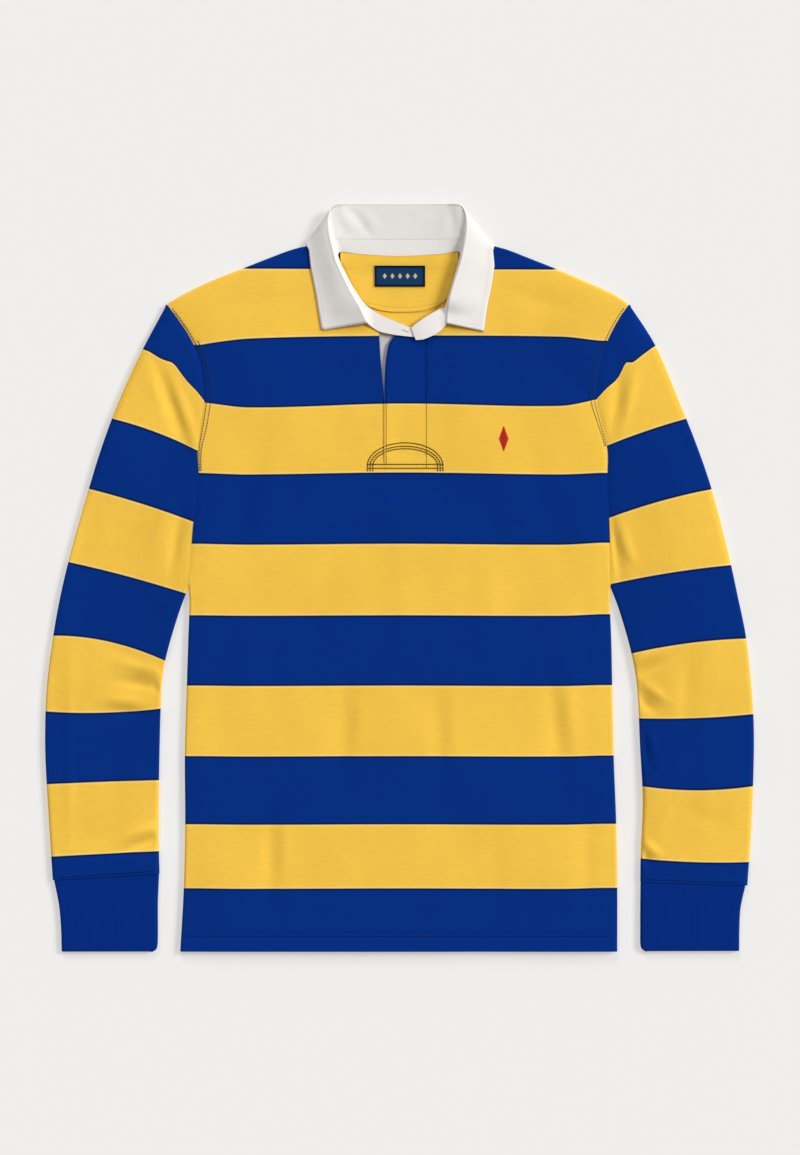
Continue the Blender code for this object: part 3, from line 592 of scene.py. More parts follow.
def front_rows():
    """The front's grid, whose middle columns stop at the foot of the placket slot."""
    rows = sorted({*SIDE_ROWS, *SEAM_KNOTS, *SHOULDER_ROWS, NECK_TOP_Y, *OPENING_ROWS})
    grid = []
    for y in rows:
        right, left = (edge_points(y, column, 1) for column in (1, 2))
        inner_right, inner_left = edges(OPENING, y)
        points = right + spread(right[-1][0], inner_right, OUTER_COLUMNS, y, front_height, 1.5)
        points += spread(inner_right, inner_left, MIDDLE_COLUMNS + 1, y, front_height)
        outwards = spread(left[-1][0], inner_left, OUTER_COLUMNS, y, front_height, 1.5)
        grid.append(points + outwards[-2::-1] + left[::-1])
    slot_rows = range(rows.index(SLOT_BOTTOM_Y), len(rows))
    first = 5 + OUTER_COLUMNS
    middle = range(first, first + MIDDLE_COLUMNS + 1)
    return grid, {(row, column) for row in slot_rows for column in middle}


def back_rows():
    """The back's grid, whose last row dips for the neck."""
    grid = []
    for y in sorted({*SIDE_ROWS, *SEAM_KNOTS, *SHOULDER_ROWS, NECK_TOP_Y}):
        right, left = (edge_points(y, column, -1) for column in (1, 2))
        points = right + spread(right[-1][0], left[-1][0], BACK_COLUMNS, y, back_height) + left[-2::-1]
        deep = BACK_NECK_DIP * ease(335.0, NECK_TOP_Y, y)
        grid.append([(x, y - deep * max(0.0, 1 - (x / BACK_NECK_HALF) ** 2), z) for x, y, z in points])
    return grid


def ring(path, top_height, bottom_height, inset):
    """A flattened ring over a path across the sleeve: the top outwards-in, then the bottom back."""

    def curl(at, inward, degrees, sign):
        top, bottom = top_height(*at), bottom_height(*at)
        radius, turn = (top - bottom) / 2, math.radians(degrees)
        depth = inset + radius * (1 - math.sin(turn))
        rise = radius * math.cos(turn) * sign
        return at[0] + inward[0] * depth, at[1] + inward[1] * depth, (top + bottom) / 2 + rise

    start, end = (path[0], direction(path[0], path[1])), (path[-1], direction(path[-1], path[-2]))
    points = []
    for near, far, middle, height, sign in (
        (start, end, path[1:-1], top_height, 1),
        (end, start, path[-2:0:-1], bottom_height, -1),
    ):
        points += [curl(*near, degrees, sign) for degrees in CURL]
        points += [(x, y, height(x, y)) for x, y in middle]
        points += [curl(*far, degrees, sign) for degrees in CURL[:0:-1]]
    return points


def armhole_bow(column):
    """The armhole's knots on the sleeve's side from the tip down, where the inner ones lie between
    the two curls, and how far each bows from a straight line."""
    outward = -INWARD[column]
    knots = [(armhole_x(y, column), y) for y in reversed(SEAM_KNOTS)]
    along = lengths(knots)[1:-1]
    fractions = [(at - along[0]) / (along[-1] - along[0]) for at in along]
    knots = [(x + outward * SEAM_GAP / 2, y) for x, y in knots]
    for end, neighbour in ((0, 1), (-1, -2)):
        way = direction(knots[end], knots[neighbour])
        away = (outward * abs(way[1]), -abs(way[0]) if end == 0 else 0.0)
        knots[end] = tuple(knots[end][n] + away[n] * JERSEY / 2 for n in (0, 1))
    chord = [blend(knots[1], knots[-2], fraction) for fraction in fractions]
    return knots, fractions, [(a[0] - b[0], a[1] - b[1]) for a, b in zip(knots[1:-1], chord)]


def sleeve_rings(outer, inner, column):
    """Rings from the armhole seam to the cuff. Each lies over a path between the two folds."""
    knots, fractions, bows = armhole_bow(column)
    rings = []
    folds = zip(resampled(outer, SLEEVE_RINGS), resampled(inner, SLEEVE_RINGS))
    for k, (start, end) in enumerate(folds):
        inset = JERSEY / 2 if k else 0.0
        if k:
            reach = (inset + SLEEVE_CURL) / math.dist(start, end)
            low, high = blend(start, end, reach), blend(start, end, 1 - reach)
        else:
            start, low, *_, high, end = knots
        keep = (1 - k / SLEEVE_RINGS) ** 1.5
        path = [start]
        for fraction, bow in zip(fractions, bows):
            x, y = blend(low, high, fraction)
            path.append((x + bow[0] * keep, y + bow[1] * keep))
        rings.append(ring([*path, end], front_height, back_height, inset))
    return rings


def cuff_rings(table):
    """Rings of a ribbed cuff, straight across, in fine steps."""
    rings = []
    curl = (CUFF_TOP_MID - RIB / 2) / 2
    keyed = tuple((k, *row) for k, row in enumerate(table))
    for step in range(CUFF_RINGS + 1):
        at = (len(table) - 1) * step / CUFF_RINGS
        values = [smooth(keyed, at, n) for n in (1, 2, 3, 4)]
        start, end = values[:2], values[2:]
        reach = (RIB / 2 + curl) / math.dist(start, end)
        inner = 1 - 2 * reach
        path = [blend(start, end, reach + inner * k / CUFF_COLUMNS) for k in range(CUFF_COLUMNS + 1)]
        top = CUFF_TOP_MID + 0.5 * math.sin(math.pi * step / CUFF_RINGS)
        rings.append(ring([start, *path, end], lambda x, y: top, lambda x, y: RIB / 2, RIB / 2))
    return rings


def leaf_row(places, heights, turned):
    """One row across the leaf, from the stand over the roll to the free edge."""
    join, roll, edge = places
    at_join, before, on_roll, after, at_edge = heights
    to_join, to_edge = direction(roll, join), direction(roll, edge)
    to_join = blend(to_join, (-to_edge[0], -to_edge[1]), min(1.0, 2 * turned))
    steepness = 0.71 - 0.41 * turned

    def point(way, distance, height):
        return roll[0] + way[0] * distance, roll[1] + way[1] * distance, height

    def on_arc(way, degrees, foot):
        near = ROLL_RADIUS * (1 - math.sin(math.radians(90 - degrees)))
        share = min(steepness * (1.3 if degrees == 60 else 0.6), 1.0)
        return point(way, near, on_roll + share * (foot - on_roll))

    first = (join[0], join[1] - TUCK * (1 - turned), at_join - 0.3)
    rise = line(first, point(to_join, ROLL_RADIUS, before), RISE_STEPS)
    row = []
    for k, (x, y, z) in enumerate(rise):
        row.append((x, y, z + bump(COLLAR_CREASES, x, y) * math.sin(math.pi * k / RISE_STEPS)))
    row += [on_arc(to_join, degrees, before) for degrees in (60, 30)]
    row.append(point(to_join, 0.0, on_roll))
    row += [on_arc(to_edge, degrees, after) for degrees in (30, 60)]
    row.append(point(to_edge, ROLL_RADIUS, after))
    lies_by = 0.66 + 0.34 * turned
    for k in range(1, FALL_STEPS + 1):
        share = k / FALL_STEPS
        sunk = 0.45 * min(share / lies_by, 1.0) + 0.55 * ease(0.0, lies_by, share)
        x, y, z = point(to_edge, math.dist(roll, edge) * share, after + (at_edge - after) * sunk)
        loose = 0.5 * turned * math.sin(math.pi * share) * ripple(2.2 * x, 2.2 * y)
        row.append((x, y, z + loose))
    return row


def rounded(path, share):
    """A point on the arc from a start to an end that rounds a corner."""
    start, corner, end = path[0:2], path[2:4], path[4:6]
    return blend(blend(start, corner, share), blend(corner, end, share), share)


def collar_stations():
    """Stations from the wearer's right point round the nape to the left point: places of seam,
    stand's upper edge, roll and free edge, then heights, and the turned share."""

    def in_front(row):
        seam, roll, edge = row[0:2], row[2:4], row[4:6]
        out = direction(edge, roll)
        join = (roll[0] + out[0] * ROLL_RADIUS, roll[1] + out[1] * ROLL_RADIUS)
        return (seam, join, roll, edge), row[6:], 1.0

    def turning(paths, share):
        round_turn = (1 - math.cos(math.pi * share)) / 2
        flat, upright = blend(AT_CORNER, AT_NAPE, share), blend(AT_CORNER, AT_NAPE, round_turn)
        return tuple(rounded(path, share) for path in paths), (*flat[:4], *upright[4:]), share

    def front_side(table, point_rows, side_heights):
        heights = [AT_POINT] * point_rows + [side_heights] * (len(table) - point_rows)
        return [in_front(row) for row in finer([(*row, *high) for row, high in zip(table, heights)], 6)]

    turn = [k / TURN_STEPS for k in range(1, TURN_STEPS + 1)]
    stations = front_side(COLLAR_FRONT_RIGHT, 1, AT_SIDE_RIGHT)
    stations += [turning(COLLAR_TURN_RIGHT, share) for share in reversed(turn)]
    raised = zip(COLLAR_BEHIND, (1.0, 0.3, 0.0, 0.0, 0.0, 0.3, 1.0))
    behind = finer([(*row, *blend(AT_BACK, AT_CORNER, share)) for row, share in raised], 7)
    stations += [((row[0:2], row[2:4], row[4:6], row[6:8]), row[8:], 0.0) for row in behind]
    stations += [turning(COLLAR_TURN_LEFT, share) for share in turn]
    return stations + front_side(COLLAR_FRONT_LEFT, 2, AT_SIDE_LEFT)[::-1]


def leaf_rows():
    """The leaf's grid, a row for each station. It rises from the stand only behind the neck."""
    stations = collar_stations()
    rows = [leaf_row(places[1:], heights[1:], turned) for places, heights, turned in stations]
    in_front = [turned > 0.99 for _, _, turned in stations]
    bare = [i for i in range(len(rows) - 1) if in_front[i] and in_front[i + 1]]
    return rows, {(i, j) for i in bare for j in range(RISE_STEPS)}


def stand_rows():
    """The stand's grid: from its lower to its upper edge, with its two lapped ends."""

    def end(table):
        return [line((x0, y0, z), (x1, y1, z), 6) for x0, y0, x1, y1, z in finer(table, 5)]

    rows = end(STAND_END_RIGHT)
    for (seam, join, roll, edge), heights, turned in collar_stations():
        x, y, z = leaf_row((join, roll, edge), heights[1:], turned)[RISE_STEPS + 1]
        high = blend((*join, heights[1]), (x, y, z - 0.9), ease(0.8, 1.0, turned))
        rows.append(line((*seam, heights[0]), high, 6))
    return rows + end(STAND_END_LEFT)[::-1]


def flap_lift(x, y):
    """How far the placket's flap stands above the front, most at its free edge."""
    return 1.2 * (1 - ease(-16.0, 2.0, x)) * ease(SLOT_BOTTOM_Y, SLOT_BOTTOM_Y + 14.0, y)


def flap_rows():
    """The placket's outer flap, on a level with the front, its free edge a little proud."""
    return [
        [(x, y, front_height(x, y) + flap_lift(x, y)) for x in steps(*edges(FLAP, y), 14)]
        for y in steps(FLAP[0][0], FLAP[-1][0], 48)
    ]


def facing_rows():
    """The white facing, flat below the slot, coloured grey as painted shade of the open gap."""
    return [[(x, y, FACING_MID) for x in steps(*FACING_X, 8)] for y in steps(*FACING_Y, 30)]


def half_moon_rows():
    """The half-moon, made from the back panel's own surface and moved up."""
    count = 26
    low, high = HALF_MOON[0][0], HALF_MOON[-1][0]
    rows = []
    for y in (low + (high - low) * (k / count) ** 1.6 for k in range(count + 1)):
        rows.append([(x, y) for x in steps(*edges(HALF_MOON, y), count)])
    top = []
    for x in steps(*HALF_MOON[-1][1:], count):
        top.append((x, HALF_MOON_TOP_Y + 3.4 * (abs(x) / BACK_NECK_HALF) ** 2 - 1.4))
    rows += [[blend(a, b, 0.5) for a, b in zip(rows[-1], top)], top]
    return [[(x, y, back_height(x, y) + MOON_LIFT) for x, y in row] for row in rows]


def label_rows():
    """The woven label, moved up from the half-moon."""
    lift = MOON_TOP + LAYER_GAP + LABEL_CLOTH / 2
    (x, y), (width, height) = LABEL_CENTRE, LABEL_SIZE
    xs, ys = steps(x - width / 2, x + width / 2, 20), steps(y - height / 2, y + height / 2, 8)
    return [[(x, y, back_height(x, y) + lift) for x in xs] for y in ys]


def hoop_place(lines, y):
    """Place in hoops with these lines: whole at each line, rising downwards, and even where blue."""
    if y > lines[0]:
        return 1 - (y - lines[0]) / HOOP
    for k, (upper, lower) in enumerate(zip(lines, lines[1:])):
        if y > lower:
            return k + 1 + (upper - y) / (upper - lower)
    return len(lines) + (lines[-1] - y) / HOOP


def body_hoop(x, y):
    at = min(max(x, BODY_LINE_X[0]), BODY_LINE_X[-1])
    return hoop_place([smooth(tuple(zip(BODY_LINE_X, row)), at, 1) for row in BODY_LINES], y)


def sleeve_hoop(table, x, y):
    """Place in a sleeve's hoops, whose lines are arcs through three points."""
    lines = []
    for x0, y0, x1, y1, x2, y2 in table:
        at = min(max(x, min(x0, x2) - 5.0), max(x0, x2) + 5.0)
        lines.append(
            y0 * (at - x1) * (at - x2) / ((x0 - x1) * (x0 - x2))
            + y1 * (at - x0) * (at - x2) / ((x1 - x0) * (x1 - x2))
            + y2 * (at - x0) * (at - x1) / ((x2 - x0) * (x2 - x1))
        )
    for middle, reach, height in KINKS:
        if table[0][0] * middle > 0:
            lines[0] += height * dip(x - middle, reach)
    return hoop_place(lines, y)


def length_property(name, description, millimetres):
    return bpy.props.FloatProperty(
        name=name, description=description, default=millimetres * MM, unit="LENGTH"
    )


def colour_property(name, description, *screen):
    """A colour that is given on the screen's scale of 0 to 255."""
    parts = [value / 255 for value in screen]
    light = [part / 12.92 if part <= 0.04045 else ((part + 0.055) / 1.055) ** 2.4 for part in parts]
    return bpy.props.FloatVectorProperty(
        name=name, description=description, subtype="COLOR", default=light, min=0, max=1
    )


class PoloShirtSizes(bpy.types.PropertyGroup):
    """Sizes of the shirt's cloth and sewing that a user would change"""

    wale: length_property("Wale", "Width of one column of knit stitches", 1.3)
    course: length_property("Course", "Height of one row of knit stitches", 1.0)
    twill_pitch: length_property("Twill Pitch", "Distance between the collar's twill lines", 1.1)
    label_pitch: length_property("Label Pitch", "Distance between the label's twill lines", 0.6)
    rib_pitch: length_property("Rib Pitch", "Distance between the ribs of a cuff", 2.6)
    stitch: length_property("Stitch", "Length of one sewn stitch", 2.6)
    stitch_gap: length_property("Stitch Gap", "Gap between two sewn stitches", 0.8)
    thread: length_property("Thread", "Radius of the sewing thread", 0.4)


class PoloShirtColours(bpy.types.PropertyGroup):
    """Colours of the shirt's cloth"""

    blue: colour_property("Blue", "Blue hoops", 1, 47, 130)
    yellow: colour_property("Yellow", "Yellow hoops", 249, 200, 76)
    hoop_edge: colour_property("Hoop Edge", "Pale course where yellow meets blue", 250, 232, 168)
    cuff_blue: colour_property("Cuff Blue", "Ribbed cuffs", 1, 42, 124)
    white: colour_property("White", "Collar", 238, 234, 229)
    # Grey where the twill is white: painted shade of the open gap below the flap.
    facing: colour_property("Facing", "Placket facing, in the open gap", 200, 195, 195)
    label: colour_property("Label", "Ground of the woven label", 18, 56, 96)
    label_edge: colour_property("Label Edge", "Woven edge of the label", 10, 20, 40)
    cream: colour_property("Cream", "Thread of the label's motif", 222, 206, 170)
    red: colour_property("Red", "Embroidered chest motif", 190, 40, 36)
    seam: colour_property("Seam", "Sewing thread of the armholes", 34, 50, 96)
    navy: colour_property("Navy", "Sewing thread on the jersey, and the hoops' dark edge", 8, 9, 24)
    pale: colour_property("Pale", "Sewing thread on the collar", 222, 216, 208)
    # The buttonhole's grey is partly painted shade: the slit's shadow given to its stitches.
    shadow: colour_property("Buttonhole", "Worked buttonhole of the band", 120, 114, 110)
    gold: colour_property("Gold", "Sewing thread on the neck patch", 214, 164, 52)


def feed(tree, slot, value):
    """Links a slot to a number that flows or to a socket, or sets it to a constant."""
    if isinstance(value, Number):
        value = value.socket
    if isinstance(value, bpy.types.NodeSocket):
        tree.links.new(value, slot)
    elif isinstance(value, (int, float)):
        slot.default_value = value
    else:
        slot.default_value = (*value[:3], 1.0)


class Number:
    """A number that flows through a shader tree. Arithmetic with it adds Math nodes."""

    def __init__(self, tree, socket):
        self.tree, self.socket = tree, socket

    def node(self, operation, other=None, clamp=False):
        made = self.tree.nodes.new("ShaderNodeMath")
        made.operation, made.use_clamp = operation, clamp
        feed(self.tree, made.inputs[0], self)
        if other is not None:
            feed(self.tree, made.inputs[1], other)
        return Number(self.tree, made.outputs[0])

    def __add__(self, other):
        return self.node("ADD", other)

    def __sub__(self, other):
        return self.node("SUBTRACT", other)

    def __mul__(self, other):
        return self.node("MULTIPLY", other)

    def __truediv__(self, other):
        return self.node("DIVIDE", other)


def mix_colours(tree, share, first, second, how="MIX"):
    """A Mix node for colours. Returns its output."""
    node = tree.nodes.new("ShaderNodeMix")
    node.data_type, node.blend_type = "RGBA", how
    for slot, value in ((0, share), (6, first), (7, second)):
        feed(tree, node.inputs[slot], value)
    return node.outputs[2]


def noise_node(tree, vector, scale, detail=2.0):
    node = tree.nodes.new("ShaderNodeTexNoise")
    for title, value in (("Vector", vector), ("Scale", scale), ("Detail", detail)):
        feed(tree, node.inputs[title], value)
    return Number(tree, node.outputs["Fac"])


def new_group(name, **inputs):
    """A shader node group and its input sockets: a vector, or a number or colour with its default."""
    group = bpy.data.node_groups.new(name, "ShaderNodeTree")
    for title, value in inputs.items():
        kind = "Vector" if value is None else "Float" if isinstance(value, float) else "Color"
        socket = group.interface.new_socket(title, in_out="INPUT", socket_type=f"NodeSocket{kind}")
        if value is not None:
            socket.default_value = value
    return group, group.nodes.new("NodeGroupInput").outputs


def put_out(group, **values):
    """Gives the group these outputs, and returns it."""
    for title in values:
        kind = "Color" if title == "Color" else "Float"
        group.interface.new_socket(title, in_out="OUTPUT", socket_type=f"NodeSocket{kind}")
    out = group.nodes.new("NodeGroupOutput")
    for title, value in values.items():
        feed(group, out.inputs[title], value)
    return group


def places(group, given, wide, tall):
    """The place across and along the cloth, counted in two of the group's own sizes."""
    split = group.nodes.new("ShaderNodeSeparateXYZ")
    feed(group, split.inputs[0], given["Cloth"])
    return (Number(group, split.outputs[n]) / given[title] for n, title in ((0, wide), (1, tall)))


@functools.cache
def knit_group():
    """Stocking stitch: rows of small Vs, from the cloth's own coordinates in metres."""
    group, given = new_group("Knit Stitches", Cloth=None, Wale=0.0013, Course=0.001)
    across, along = places(group, given, "Wale", "Course")
    wave = ((along + across.node("PINGPONG", 0.5) * 1.6) * (2 * math.pi)).node("SINE")
    columns = (across * (4 * math.pi)).node("COSINE")
    fuzz = noise_node(group, given["Cloth"], 900.0)
    height = wave * 0.32 + columns * -0.26 + 0.5 + (fuzz - 0.5) * 0.5
    return put_out(group, Height=height, Shade=height * 0.22 + 0.89)


@functools.cache
def hoops_group():
    """Two colours in turn, from the place in the hoops, with thin lines where they meet."""
    group, given = new_group(
        "Hoops", Place=0.0, Even=(0, 0, 1, 1), Odd=(1, 1, 0, 1), Line=(0, 0, 0, 1), Pale=(1, 1, 1, 1)
    )
    wave = (Number(group, given["Place"]) * math.pi).node("SINE")
    blueness = (wave * 34.0).node("ADD", 0.4, clamp=True)
    colour = mix_colours(group, blueness, given["Odd"], given["Even"])
    for middle, narrowness, strength, title in HOOP_EDGES:
        beside = (wave - middle).node("ABSOLUTE")
        share = (beside * -narrowness).node("ADD", 1.0, clamp=True) * strength
        colour = mix_colours(group, share, colour, given[title])
    return put_out(group, Color=colour)


@functools.cache
def twill_group():
    """A fine twill: raised diagonal lines cut into short floats."""
    group, given = new_group("Twill Weave", Cloth=None, Pitch=0.0011)
    across, along = places(group, given, "Pitch", "Pitch")
    diagonal = ((across + along) * (2 * math.pi)).node("SINE")
    floats = ((across - along) * (4 * math.pi)).node("SINE")
    slub = noise_node(group, given["Cloth"], 700.0)
    height = diagonal * 0.34 + floats * 0.12 + slub * 0.5
    return put_out(group, Height=height, Shade=height * 0.07 + 0.95)


@functools.cache
def rib_group():
    """Ribs of a cuff: rounded columns of knit with narrow valleys between them."""
    group, given = new_group("Cuff Ribs", Cloth=None, Pitch=0.0026, Course=0.001)
    across, along = places(group, given, "Pitch", "Course")
    ridge = (across * math.pi).node("COSINE").node("ABSOLUTE")
    courses = (along * (2 * math.pi)).node("SINE")
    return put_out(group, Height=ridge + courses * 0.1, Shade=ridge * 0.1 + 0.93)


@functools.cache
def worn_group():
    """Slow unevenness of washed cloth: broad faded patches and specks of lint."""
    group, given = new_group("Washed Cloth", Cloth=None, Color=(1, 1, 1, 1), Fade=0.06)
    stretched = group.nodes.new("ShaderNodeVectorMath")
    stretched.operation = "MULTIPLY"
    stretched.inputs[1].default_value = (0.22, 1.0, 1.0)
    feed(group, stretched.inputs[0], given["Cloth"])
    broad = noise_node(group, given["Cloth"], 14.0, 3.0)
    yarn = noise_node(group, stretched.outputs[0], 380.0, 3.0)
    faded = ((broad - 0.5) * given["Fade"] + (yarn - 0.5) * given["Fade"]) * 2.0 + 1.0
    return put_out(group, Color=mix_colours(group, 1.0, given["Color"], faded, "MULTIPLY"), Fuzz=yarn)


def place_group(tree, maker, **values):
    """A node of a shared group with its inputs fed. Returns its outputs."""
    node = tree.nodes.new("ShaderNodeGroup")
    node.node_tree = maker()
    for title, value in values.items():
        feed(tree, node.inputs[title], value)
    return node.outputs


def new_material(name, values):
    """A material with these values on its shader. Returns it, its tree and the shader's inputs."""
    made = bpy.data.materials.new(name)
    made.use_nodes = True
    inputs = made.node_tree.nodes["Principled BSDF"].inputs
    for title, value in values.items():
        feed(made.node_tree, inputs[title], value)
    return made, made.node_tree, inputs


def add_relief(tree, inputs, height, distance, strength):
    """Bumps a shader's surface by a height."""
    node = tree.nodes.new("ShaderNodeBump")
    for title, value in (("Height", height), ("Distance", distance), ("Strength", strength)):
        feed(tree, node.inputs[title], value)
    feed(tree, inputs["Normal"], node.outputs[0])


def cloth_material(name):
    """A cloth of the CLOTHS table: its colour or hoops, washed unevenly, with its weave as shade
    and bump."""
    sizes, colours = bpy.context.scene.polo_shirt_sizes, bpy.context.scene.polo_shirt_colours
    _, _, roughness, sheen, weave, distance, strength, fade, colour = CLOTHS[name]
    made, tree, inputs = new_material(
        name,
        {
            "Roughness": roughness,
            "Sheen Weight": sheen,
            "Sheen Roughness": 0.5,
            "Specular IOR Level": 0.05,
        },
    )
    cloth = tree.nodes.new("ShaderNodeUVMap")
    cloth.uv_map = "Cloth"
    if colour:
        colour = getattr(colours, colour)
    else:
        hoop = tree.nodes.new("ShaderNodeAttribute")
        hoop.attribute_name = "hoop"
        colour = place_group(
            tree,
            hoops_group,
            Place=hoop.outputs["Fac"],
            Even=colours.blue,
            Odd=colours.yellow,
            Line=colours.navy,
            Pale=colours.hoop_edge,
        )["Color"]
    maker, pitches = {
        "knit": (knit_group, {"Wale": sizes.wale, "Course": sizes.course}),
        "rib": (rib_group, {"Pitch": sizes.rib_pitch, "Course": sizes.course}),
        "twill": (twill_group, {"Pitch": sizes.twill_pitch}),
        "tape": (twill_group, {"Pitch": sizes.label_pitch}),
    }[weave]
    worn = place_group(tree, worn_group, Cloth=cloth.outputs[0], Color=colour, Fade=fade)
    woven = place_group(tree, maker, Cloth=cloth.outputs[0], **pitches)
    shaded = mix_colours(tree, 1.0, worn["Color"], woven["Shade"], "MULTIPLY")
    feed(tree, inputs["Base Color"], shaded)
    add_relief(tree, inputs, woven["Height"], distance, strength)
    return made


def thread_material(name):
    """Twisted sewing thread of the colour of that name, a little glossier than the cloth."""
    made, tree, inputs = new_material(name, {"Roughness": 0.7, "Specular IOR Level": 0.1})
    place = tree.nodes.new("ShaderNodeTexCoord").outputs["Object"]
    colour = getattr(bpy.context.scene.polo_shirt_colours, name)
    worn = place_group(tree, worn_group, Cloth=place, Color=colour, Fade=0.12)
    feed(tree, inputs["Base Color"], worn["Color"])
    add_relief(tree, inputs, worn["Fuzz"], 0.0002, 0.4)
    return made


@functools.cache
def material(name):
    """The finish of that name, made once."""
    return cloth_material(name) if name in CLOTHS else thread_material(name)


def add_mesh(name, points, faces, finish):
    """A smooth mesh of points in millimetres, in the scene."""
    mesh = bpy.data.meshes.new(name)
    mesh.from_pydata([[value * MM for value in point] for point in points], [], faces)
    mesh.materials.append(material(finish))
    mesh.shade_smooth()
    piece = bpy.data.objects.new(name, mesh)
    bpy.context.scene.collection.objects.link(piece)
    return piece


def grid_uvs(rows, closed):
    """Cloth coordinates of a grid in metres: the way along each row, and the way down its middle."""
    middle = len(rows[0]) // (4 if closed else 2)
    uvs = []
    for row, down in zip(rows, lengths([row[middle] for row in rows])):
        along = lengths([*row, row[0]])
        uvs.append([((at - along[middle]) * MM, down * MM) for at in along])
    return uvs


def cloth_piece(name, node, finish, rows, flat, area=None, hoop=None, missing=(), closed=False):
    """A piece of cloth: a fine grid surface given its thickness, which stands for its CAD node. The
    weave of a piece that is closed or rolls over follows it, and that of a flat one lies level."""
    width = len(rows[0])
    cells = []
    for i in range(len(rows) - 1):
        for j in range(width if closed else width - 1):
            if (i, j) not in missing:
                cells.append(((i, j), (i, j + 1), (i + 1, j + 1), (i + 1, j)))
    quads = [[row * width + column % width for row, column in cell] for cell in cells]
    used = sorted({corner for quad in quads for corner in quad})
    index = {corner: k for k, corner in enumerate(used)}
    points = [rows[corner // width][corner % width] for corner in used]
    piece = add_mesh(name, points, [[index[corner] for corner in quad] for quad in quads], finish)
    follows = closed or name in ROLLED
    uvs = grid_uvs(rows, closed) if follows else [[(x * MM, y * MM) for x, y, _ in row] for row in rows]
    layer = piece.data.uv_layers.new(name="Cloth")
    for n, (row, column) in enumerate(corner for cell in cells for corner in cell):
        layer.data[n].uv = uvs[row][column]
    if hoop:
        values = piece.data.attributes.new("hoop", "FLOAT", "POINT")
        for value, (x, y, _) in zip(values.data, points):
            value.value = hoop(x, y)
    thickness, slot = CLOTHS[finish][:2]
    wall = piece.modifiers.new("wall", "SOLIDIFY")
    wall.thickness = thickness * MM
    wall.offset = 0.0
    wall.use_even_offset = False
    solid = piece.evaluated_get(bpy.context.evaluated_depsgraph_get())
    mesh = bpy.data.meshes.new_from_object(solid)
    piece.modifiers.clear()
    piece.data = mesh
    if name != "collar_fall":
        mesh.set_sharp_from_angle(angle=SHARP_EDGE)
    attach(piece, "root")
    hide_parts(node)


def sew(name, runs, finish, radius=None, stitch=None, gap=None):
    """Stitches along runs of points: each a short thread that dips into the cloth at both ends."""
    sizes = bpy.context.scene.polo_shirt_sizes
    radius = radius or sizes.thread / MM
    stitch = stitch or sizes.stitch / MM
    gap = sizes.stitch_gap / MM if gap is None else gap
    points, faces = [], []
    for run in runs:
        along = lengths(run)
        count = max(1, round(along[-1] / (stitch + gap)))
        pitch = along[-1] / count
        for k in range(count):
            ends = (pitch * k + gap / 2, pitch * (k + 1) - gap / 2)
            start, end = (Vector(point_at(run, along, at)) for at in ends)
            add_thread(points, faces, start, end, radius)
    piece = add_mesh(name, points, faces, finish)
    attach(piece, "root")


def add_thread(points, faces, start, end, radius):
    """One thread from start to end, thickest in the middle and pointed at its ends."""
    way = (end - start).normalized()
    side = way.cross(Vector((0, 0, 1))).normalized()
    up = side.cross(way)
    base = len(points)
    drop = Vector((0, 0, -0.7 * radius))
    points.append(start + drop)
    for share in (0.22, 0.78):
        middle = start.lerp(end, share)
        for n in range(THREAD_SIDES):
            turn = 2 * math.pi * n / THREAD_SIDES
            points.append(middle + (side * math.cos(turn) + up * math.sin(turn)) * radius)
    points.append(end + drop)
    first, second, last = base + 1, base + 1 + THREAD_SIDES, base + 1 + 2 * THREAD_SIDES
    for n in range(THREAD_SIDES):
        m = (n + 1) % THREAD_SIDES
        faces.append((base, first + n, first + m))
        faces.append((first + n, second + n, second + m, first + m))
        faces.append((last, second + m, second + n))


def on_front(points, lift=0.22):
    """Places on the outer face of the upper layer, or of the placket's flap on it."""
    placed = []
    for x, y in points:
        on_flap = -15.9 <= x <= 29.5 and SLOT_BOTTOM_Y < y < 259.0
        top = front_height(x, y) + (flap_lift(x, y) if on_flap else 0.0)
        placed.append((x, y, top + JERSEY / 2 + lift))
    return placed


def on_back(points, lift=0.25):
    """Places on the lower layer's outer face, below."""
    return [(x, y, back_height(x, y) - JERSEY / 2 + lift) for x, y in points]


class POLO_OT_body(bpy.types.Operator):
    """Lay the back panel and the front panel, with their hoops and hem"""

    bl_idname = "polo_shirt.lay_body"
    bl_label = "Lay Body"

    def execute(self, context):
        front, slot = front_rows()
        for name, node, rows, area, missing in (
            ("front_panel", "front", front, 0.325, slot),
            ("back_panel", "back", back_rows(), 0.335, ()),
        ):
            cloth_piece(name, node, "hooped_jersey", rows, (0.49, 0.745), area, body_hoop, missing)
        return {"FINISHED"}


class POLO_OT_sleeves(bpy.types.Operator):
    """Lay both sleeves, which are flattened tubes"""

    bl_idname = "polo_shirt.lay_sleeves"
    bl_label = "Lay Sleeves"

    def execute(self, context):
        for side, outer, inner, column, lines in (
            ("right", RIGHT_OUTER, RIGHT_INNER, 1, RIGHT_LINES),
            ("left", LEFT_OUTER, LEFT_INNER, 2, LEFT_LINES),
        ):
            rings = sleeve_rings(outer, inner, column)
            hoop = functools.partial(sleeve_hoop, lines)
            names = (f"{side}_sleeve", f"sleeve_{side}", "hooped_jersey")
            cloth_piece(*names, rings, (0.4, 0.61), 0.165, hoop, closed=True)
        return {"FINISHED"}


class POLO_OT_cuffs(bpy.types.Operator):
    """Knit both ribbed cuffs"""

    bl_idname = "polo_shirt.knit_cuffs"
    bl_label = "Knit Cuffs"

    def execute(self, context):
        for side, table in (("right", RIGHT_CUFF), ("left", LEFT_CUFF)):
            names = (f"{side}_cuff", f"cuff_{side}", "ribbed_cuff")
            cloth_piece(*names, cuff_rings(table), (0.215, 0.075), 0.0155, closed=True)
        return {"FINISHED"}


